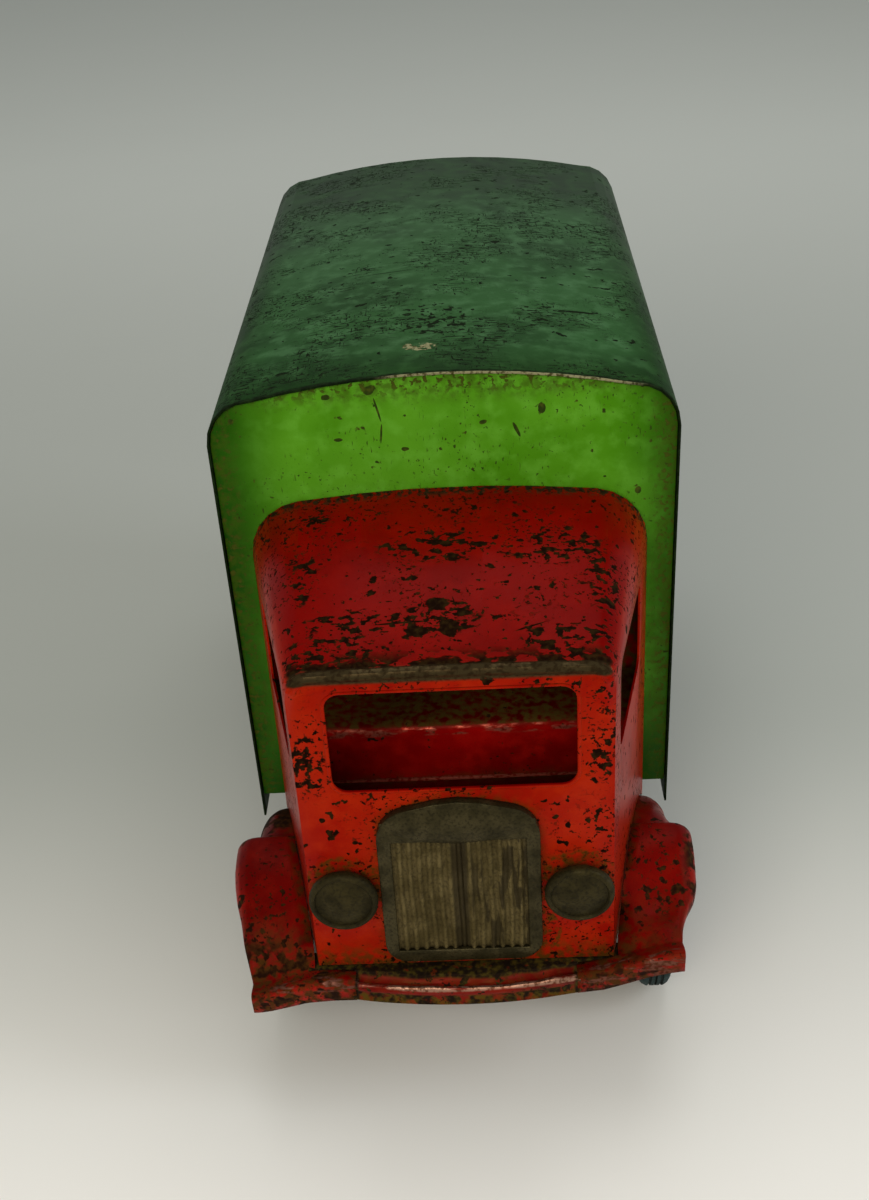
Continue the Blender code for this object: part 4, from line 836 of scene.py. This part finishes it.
# %% Headlamps
lamp_back = face_y - 0.3
LAMP_RINGS = ((4.0, 0.3), (4.0, 2.0), (10.4, 2.1), (11.5, 2.5), (12.1, 3.3), (12.3, 4.4),
              (12.2, 5.5), (11.8, 6.3), (11.1, 6.8), (10.5, 6.9), (10.1, 6.5), (9.8, 5.9),
              (9.2, 5.9), (6.4, 6.6), (4.0, 7.05), (1.6, 7.2))
for side, name, lean in ((-1, "left", 2.5), (1, "right", -2.0)):
    node = "headlamp_" + name
    low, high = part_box(node)
    middle = Vector((low.x + high.x, 0, low.z + high.z)) / 2 / MM
    middle.y = lamp_back
    lamp = turned("pressed_headlamp_" + name, LAMP_RINGS, middle, "Y")
    tilt(lamp, lean, "X", middle + Vector((0, -2.0, 0)))
    smooth(lamp, 50)
    fit(lamp, lamp_tin, "tarnished_steel", node)

# %% [markdown]
# ## Radiator grille
#
# The grille is two pressings: a pillowed surround, and a corrugated sheet let into it. The
# surround is a copy of the CAD one whose edges get a wide round. The ribs are a fine
# grid whose columns are pushed forward in a wave, then warped a little, because the thin
# sheet has been squashed and is no longer straight, and last given its thickness.


# %% Selecting by place
def choose(piece, kind, test):
    """In edit mode, selects only the vertices, edges or faces whose corners all pass."""
    bpy.ops.object.mode_set(mode="OBJECT")
    mesh = piece.data
    passing = [test(vertex.co / MM) for vertex in mesh.vertices]
    for group in (mesh.vertices, mesh.edges, mesh.polygons):
        group.foreach_set("select", [False] * len(group))
    if kind == "VERT":
        mesh.vertices.foreach_set("select", passing)
    else:
        for part in mesh.edges if kind == "EDGE" else mesh.polygons:
            part.select = all(passing[index] for index in part.vertices)
    bpy.ops.object.mode_set(mode="EDIT")
    bpy.ops.mesh.select_mode(type=kind)


# %% Grille surround
surround = merged_copy("grille_surround", "pillowed_grille_surround")
modify(surround, "BEVEL", width=1.6 * MM, segments=5, limit_method="ANGLE",
       angle_limit=math.radians(50), use_clamp_overlap=False)
smooth(surround, 50)
fit(surround, grille_tin, "tarnished_steel", "grille_surround")

# %% [markdown]
# ## Swell over the grille
#
# The band over the ribs is pressed out into a low swell, which catches a soft light. The
# surround's front is flat, so the swell is its own piece: a wide, flattened ball sunk until
# only its cap stands proud, and cut off behind the surround's front.

# %% Swell over the grille
SWELL_RADII = (38.0, 6.0, 11.5)
SWELL_HEIGHT = 1.3
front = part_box("grille_surround")[0].y / MM
swell_middle = Vector((0, front + SWELL_RADII[1] - SWELL_HEIGHT, 125.6))
bpy.ops.object.select_all(action="DESELECT")
bpy.ops.mesh.primitive_uv_sphere_add(segments=128, ring_count=96, radius=1,
                                     location=swell_middle * MM)
swell = bpy.context.object
swell.name = swell.data.name = "grille_swell"
swell.scale = Vector(SWELL_RADII) * MM
settle(swell)
bpy.ops.object.mode_set(mode="EDIT")
bpy.ops.mesh.select_all(action="SELECT")
bpy.ops.mesh.bisect(plane_co=(0, (front + 0.4) * MM, 0), plane_no=(0, 1, 0), use_fill=True,
                    clear_outer=True)
bpy.ops.object.mode_set(mode="OBJECT")
smooth(swell, 50)
fit_extra(swell, grille_tin)

# %% Corrugated core
RIBS = 14
PER_RIB = 8
low, high = [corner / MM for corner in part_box("grille_core")]
low, high = low - Vector((1, 0, 2)), high + Vector((1, 0, 1))
width = high.x - low.x
height = high.z - low.z
rib_front = low.y - 0.2
bpy.ops.object.select_all(action="DESELECT")
bpy.ops.mesh.primitive_grid_add(
    x_subdivisions=RIBS * PER_RIB, y_subdivisions=28, size=1,
    location=Vector((0, rib_front, (low.z + high.z) / 2)) * MM, rotation=(math.pi / 2, 0, 0))
core = bpy.context.object
core.name = core.data.name = "corrugated_grille_core"
core.scale = (width * MM, height * MM, 1)
settle(core)
for step in range(PER_RIB):
    wave = math.cos(2 * math.pi * step / PER_RIB)
    forward = 0.75 * max(wave, -0.6)
    choose(core, "VERT",
           lambda at: round((at.x - low.x) / width * RIBS * PER_RIB) % PER_RIB == step)
    bpy.ops.transform.translate(value=(0, -forward * MM, 0))
    bpy.ops.object.mode_set(mode="OBJECT")
choose(core, "VERT", lambda at: abs(at.x) < 0.9)
bpy.ops.transform.translate(value=(0, 0.9 * MM, 0))
for x, z, push in ((12, 84, 0.8), (-14, 100, -0.5), (17, 108, 0.6), (-8, 74, 0.5)):
    choose(core, "VERT", lambda at: (at.x - x) ** 2 + (at.z - z) ** 2 < 9)
    bpy.ops.transform.translate(value=(push * 0.6 * MM, push * MM, 0), use_proportional_edit=True,
                                proportional_size=13 * MM, proportional_edit_falloff="SMOOTH")
bpy.ops.object.mode_set(mode="OBJECT")
modify(core, "SOLIDIFY", thickness=0.9 * MM, offset=-1.0)
smooth(core, 60)
fit(core, core_tin, "tarnished_steel", "grille_core")
print("ribs are", round(width / RIBS, 2), "mm apart")

# %% [markdown]
# ## Wings and mudguards
#
# A wing is drawn from one sheet: a long curve from the bumper over the tyre, with a rounded
# shoulder. Its CAD skin is turned back into quads, its cut edges are fully creased and its
# folds a little, and Subdivision Surface makes the curve flow. Both wings have been dropped
# on: the left one's tip is bent down, the right one is dented and its tip bent up, so some
# points are pulled with a soft falloff.


# %% Flowing sheet
def flowing_copy(node, name, levels=2):
    """A smooth copy of a lofted CAD sheet whose cut edges stay where they are."""
    piece = merged_copy(node, name)
    only(piece)
    bpy.ops.object.mode_set(mode="EDIT")
    bpy.ops.mesh.select_all(action="SELECT")
    bpy.ops.mesh.tris_convert_to_quads(face_threshold=math.radians(60),
                                       shape_threshold=math.radians(60))
    bpy.ops.mesh.select_all(action="DESELECT")
    bpy.ops.mesh.select_mode(type="EDGE")
    bpy.ops.mesh.edges_select_sharp(sharpness=math.radians(55))
    bpy.ops.transform.edge_crease(value=1.0)
    bpy.ops.mesh.select_all(action="DESELECT")
    bpy.ops.mesh.edges_select_sharp(sharpness=math.radians(20))
    bpy.ops.transform.edge_crease(value=0.35)
    bpy.ops.object.mode_set(mode="OBJECT")
    modify(piece, "SUBSURF", levels=levels, render_levels=levels)
    return piece


def pull(piece, middle, reach, move, falloff="SMOOTH"):
    """Moves the points within a few millimetres of middle, and those around them less."""
    only(piece)
    middle = Vector(middle)
    nearest = min((vertex.co / MM - middle).length for vertex in piece.data.vertices)
    choose(piece, "VERT", lambda at: (at - middle).length < nearest + 1.5)
    bpy.ops.transform.translate(value=Vector(move) * MM, use_proportional_edit=True,
                                proportional_size=reach * MM, proportional_edit_falloff=falloff)
    bpy.ops.object.mode_set(mode="OBJECT")


DENTS = {
    "wing_left": (((-79, -180, 55), 26, (0, 0, -5.5)), ((-84, -150, 66), 14, (1.2, 0, -0.8))),
    "wing_right": (((79, -150, 74), 18, (-1.0, 0, -2.4)), ((84, -165, 62), 13, (-1.5, 0.5, 0)),
                   ((78, -182, 52), 36, (0, 0, 9.0)), ((70, -158, 76), 9, (0, 0, -1.6))),
    "mudguard_left": (),
    "mudguard_right": (((80, -100, 72), 12, (-0.8, 0, -0.6)),),
}
for node, dents in DENTS.items():
    piece = flowing_copy(node, "dented_" + node)
    for middle, reach, move in dents:
        pull(piece, middle, reach, move)
    smooth(piece, 50)
    fit(piece, wing_red, "red_enamel", node)

# %% [markdown]
# ## Bumper
#
# The middle of the bumper is one pressing with the valance: a shelf from the cab's face, a
# groove, a rolled ridge that takes the knocks, and a flange. A curve could be swept along the
# bow. Here the shelf is a strip of plane, bowed by moving its columns forward, and its front
# edge is extruded step by step down the section.

# %% Bumper
BUMPER_STEPS = ((-0.9, -1.3), (-1.1, -1.1), (-1.2, -0.1), (-0.9, 0.9), (-0.9, 0.7), (-0.8, 0.0),
                (-0.6, -0.7), (-0.2, -1.1), (0.5, -1.2), (0.3, -1.3), (-0.2, -1.5), (-0.7, -1.4))
LUMPS = ((-30, 0.7), (-18, -0.5), (-6, 0.6), (8, -0.4), (20, 0.8), (31, 0.5))
KNOCKS = ((-33, -0.8), (-12, 0.5), (14, -0.5), (34, 0.9))
low, high = [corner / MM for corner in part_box("front_bumper")]
shelf_z = high.z - 0.5
shelf_back = face_y + 6.0
bow = BUMPER_BOW
reach = sum(step[0] for step in BUMPER_STEPS[:8])
shelf_front = low.y - reach
bpy.ops.object.select_all(action="DESELECT")
bpy.ops.mesh.primitive_grid_add(
    x_subdivisions=40, y_subdivisions=3, size=1,
    location=Vector((0, (shelf_back + shelf_front) / 2, shelf_z)) * MM)
bumper = bpy.context.object
bumper.name = bumper.data.name = "rolled_front_bumper"
bumper.scale = ((high.x - low.x + 1.2) * MM, (shelf_back - shelf_front) * MM, 1)
settle(bumper)
for column in range(41):
    x = (low.x - 0.6) + (high.x - low.x + 1.2) * column / 40
    choose(bumper, "VERT", lambda at: abs(at.x - x) < 0.2 and at.y < shelf_front + 0.5)
    back = bow * (x / high.x) ** 2
    bpy.ops.transform.translate(value=(0, back * MM, 0))
choose(bumper, "EDGE", lambda at: at.y < shelf_front + 0.15 + bow * (at.x / high.x) ** 2)
for run, rise in BUMPER_STEPS:
    bpy.ops.mesh.extrude_region_move()
    bpy.ops.transform.translate(value=(0, run * MM, rise * MM))
bpy.ops.object.mode_set(mode="OBJECT")
for middle, push in LUMPS:
    pull(bumper, (middle, shelf_front + 1, shelf_z), 5, (0, 0, push))
for middle, push in KNOCKS:
    pull(bumper, (middle, low.y + 1, shelf_z - 1), 7, (0, -0.3 * push, push))
modify(bumper, "SOLIDIFY", thickness=0.8 * MM, offset=-1.0)
soften(bumper, 0.2, 50)
fit(bumper, bumper_red, "red_enamel", "front_bumper")

# %% [markdown]
# ## Valance
#
# The cab's foot meets the wings and the bumper with no gap. A narrow strip of sheet under the
# foot closes it, and being in the shade it reads as the dirty joint between the pressings.

# %% Valance under the cab's foot
VALANCE = (58.0, 9.0, 0.8)
bpy.ops.object.select_all(action="DESELECT")
bpy.ops.mesh.primitive_cube_add(size=1, location=Vector((0, face_y + 3.6, shelf_z - 1.0)) * MM)
valance = bpy.context.object
valance.name = valance.data.name = "cab_valance"
valance.scale = (2 * VALANCE[0] * MM, VALANCE[1] * MM, VALANCE[2] * MM)
settle(valance)
soften(valance, 0.2)
fit_extra(valance, bumper_red)

# %% [markdown]
# ## Wheels and tyres
#
# The tyres are solid moulded rubber with a few ribs round the tread and a raised ring on the
# wall. The wheels are dished steel discs with a rolled rim and a turned hub. All four are
# alike, so each tyre is turned from the same rings and each wheel is a copy of its CAD node.

# %% Tyres and wheels
TYRE_RINGS = ((23.0, -5.6), (25.5, -6.3), (27.0, -6.6), (27.6, -7.0), (28.4, -7.0), (29.0, -6.5),
              (30.6, -5.9), (32.0, -4.9), (32.9, -3.4), (33.0, -2.9), (32.2, -2.6), (32.2, -2.0),
              (33.0, -1.7), (33.0, -0.4), (32.2, -0.2), (32.2, 0.2), (33.0, 0.4), (33.0, 1.7),
              (32.2, 2.0), (32.2, 2.6), (33.0, 2.9), (32.9, 3.4), (32.0, 4.9), (30.6, 5.9),
              (29.0, 6.5), (28.4, 7.0), (27.6, 7.0), (27.0, 6.6), (25.5, 6.3), (23.0, 5.6),
              (23.0, -5.6))
for place_name in ("front_left", "front_right", "rear_left", "rear_right"):
    low, high = [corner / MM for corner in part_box("tyre_" + place_name)]
    middle = (low + high) / 2
    tyre = turned("ribbed_tyre_" + place_name, TYRE_RINGS, middle, "X", 96, hollow=True)
    smooth(tyre, 35)
    fit(tyre, tyre_rubber, "tyre_rubber", "tyre_" + place_name)
    wheel = merged_copy("wheel_" + place_name, "pressed_wheel_" + place_name)
    soften(wheel, 0.3)
    fit(wheel, chassis_red, "chassis_red_enamel", "wheel_" + place_name)

# %% [markdown]
# ## Rolled windscreen edge
#
# The sheet round the windscreen is turned in, which shows as a soft bright lip. A rounded
# rectangle is made from a plane with bevelled corners, its outline turned to a curve with a
# round section, and back to a mesh. Extruding the cab's own edge inwards would do it too, but
# the curve's section stays even all the way round.

# %% Windscreen lip
SILL, TOP = 138.5, 179.5
LIP_WIDTH = 84.4
LIP_CORNER = 6.0
LIP_THICKNESS = 0.75
bpy.ops.object.select_all(action="DESELECT")
bpy.ops.mesh.primitive_plane_add(size=1, rotation=(math.pi / 2, 0, 0),
                                 location=Vector((0, face_y + 0.7, (SILL + TOP) / 2)) * MM)
lip = bpy.context.object
lip.name = lip.data.name = "windscreen_lip"
lip.scale = (LIP_WIDTH * MM, (TOP - SILL + 0.4) * MM, 1)
settle(lip)
bpy.ops.object.mode_set(mode="EDIT")
bpy.ops.mesh.select_all(action="SELECT")
bpy.ops.mesh.bevel(offset=LIP_CORNER * MM, segments=7, affect="VERTICES", profile=0.5)
bpy.ops.mesh.delete(type="ONLY_FACE")
bpy.ops.object.mode_set(mode="OBJECT")
bpy.ops.object.convert(target="CURVE")
lip.data.bevel_depth = LIP_THICKNESS * MM
lip.data.bevel_resolution = 4
bpy.ops.object.convert(target="MESH")
lip = bpy.context.object
only(lip)
bpy.ops.object.mode_set(mode="EDIT")
bpy.ops.mesh.select_all(action="SELECT")
bpy.ops.mesh.normals_make_consistent(inside=False)
bpy.ops.object.mode_set(mode="OBJECT")
smooth(lip, 60)
fit_extra(lip, cab_red)
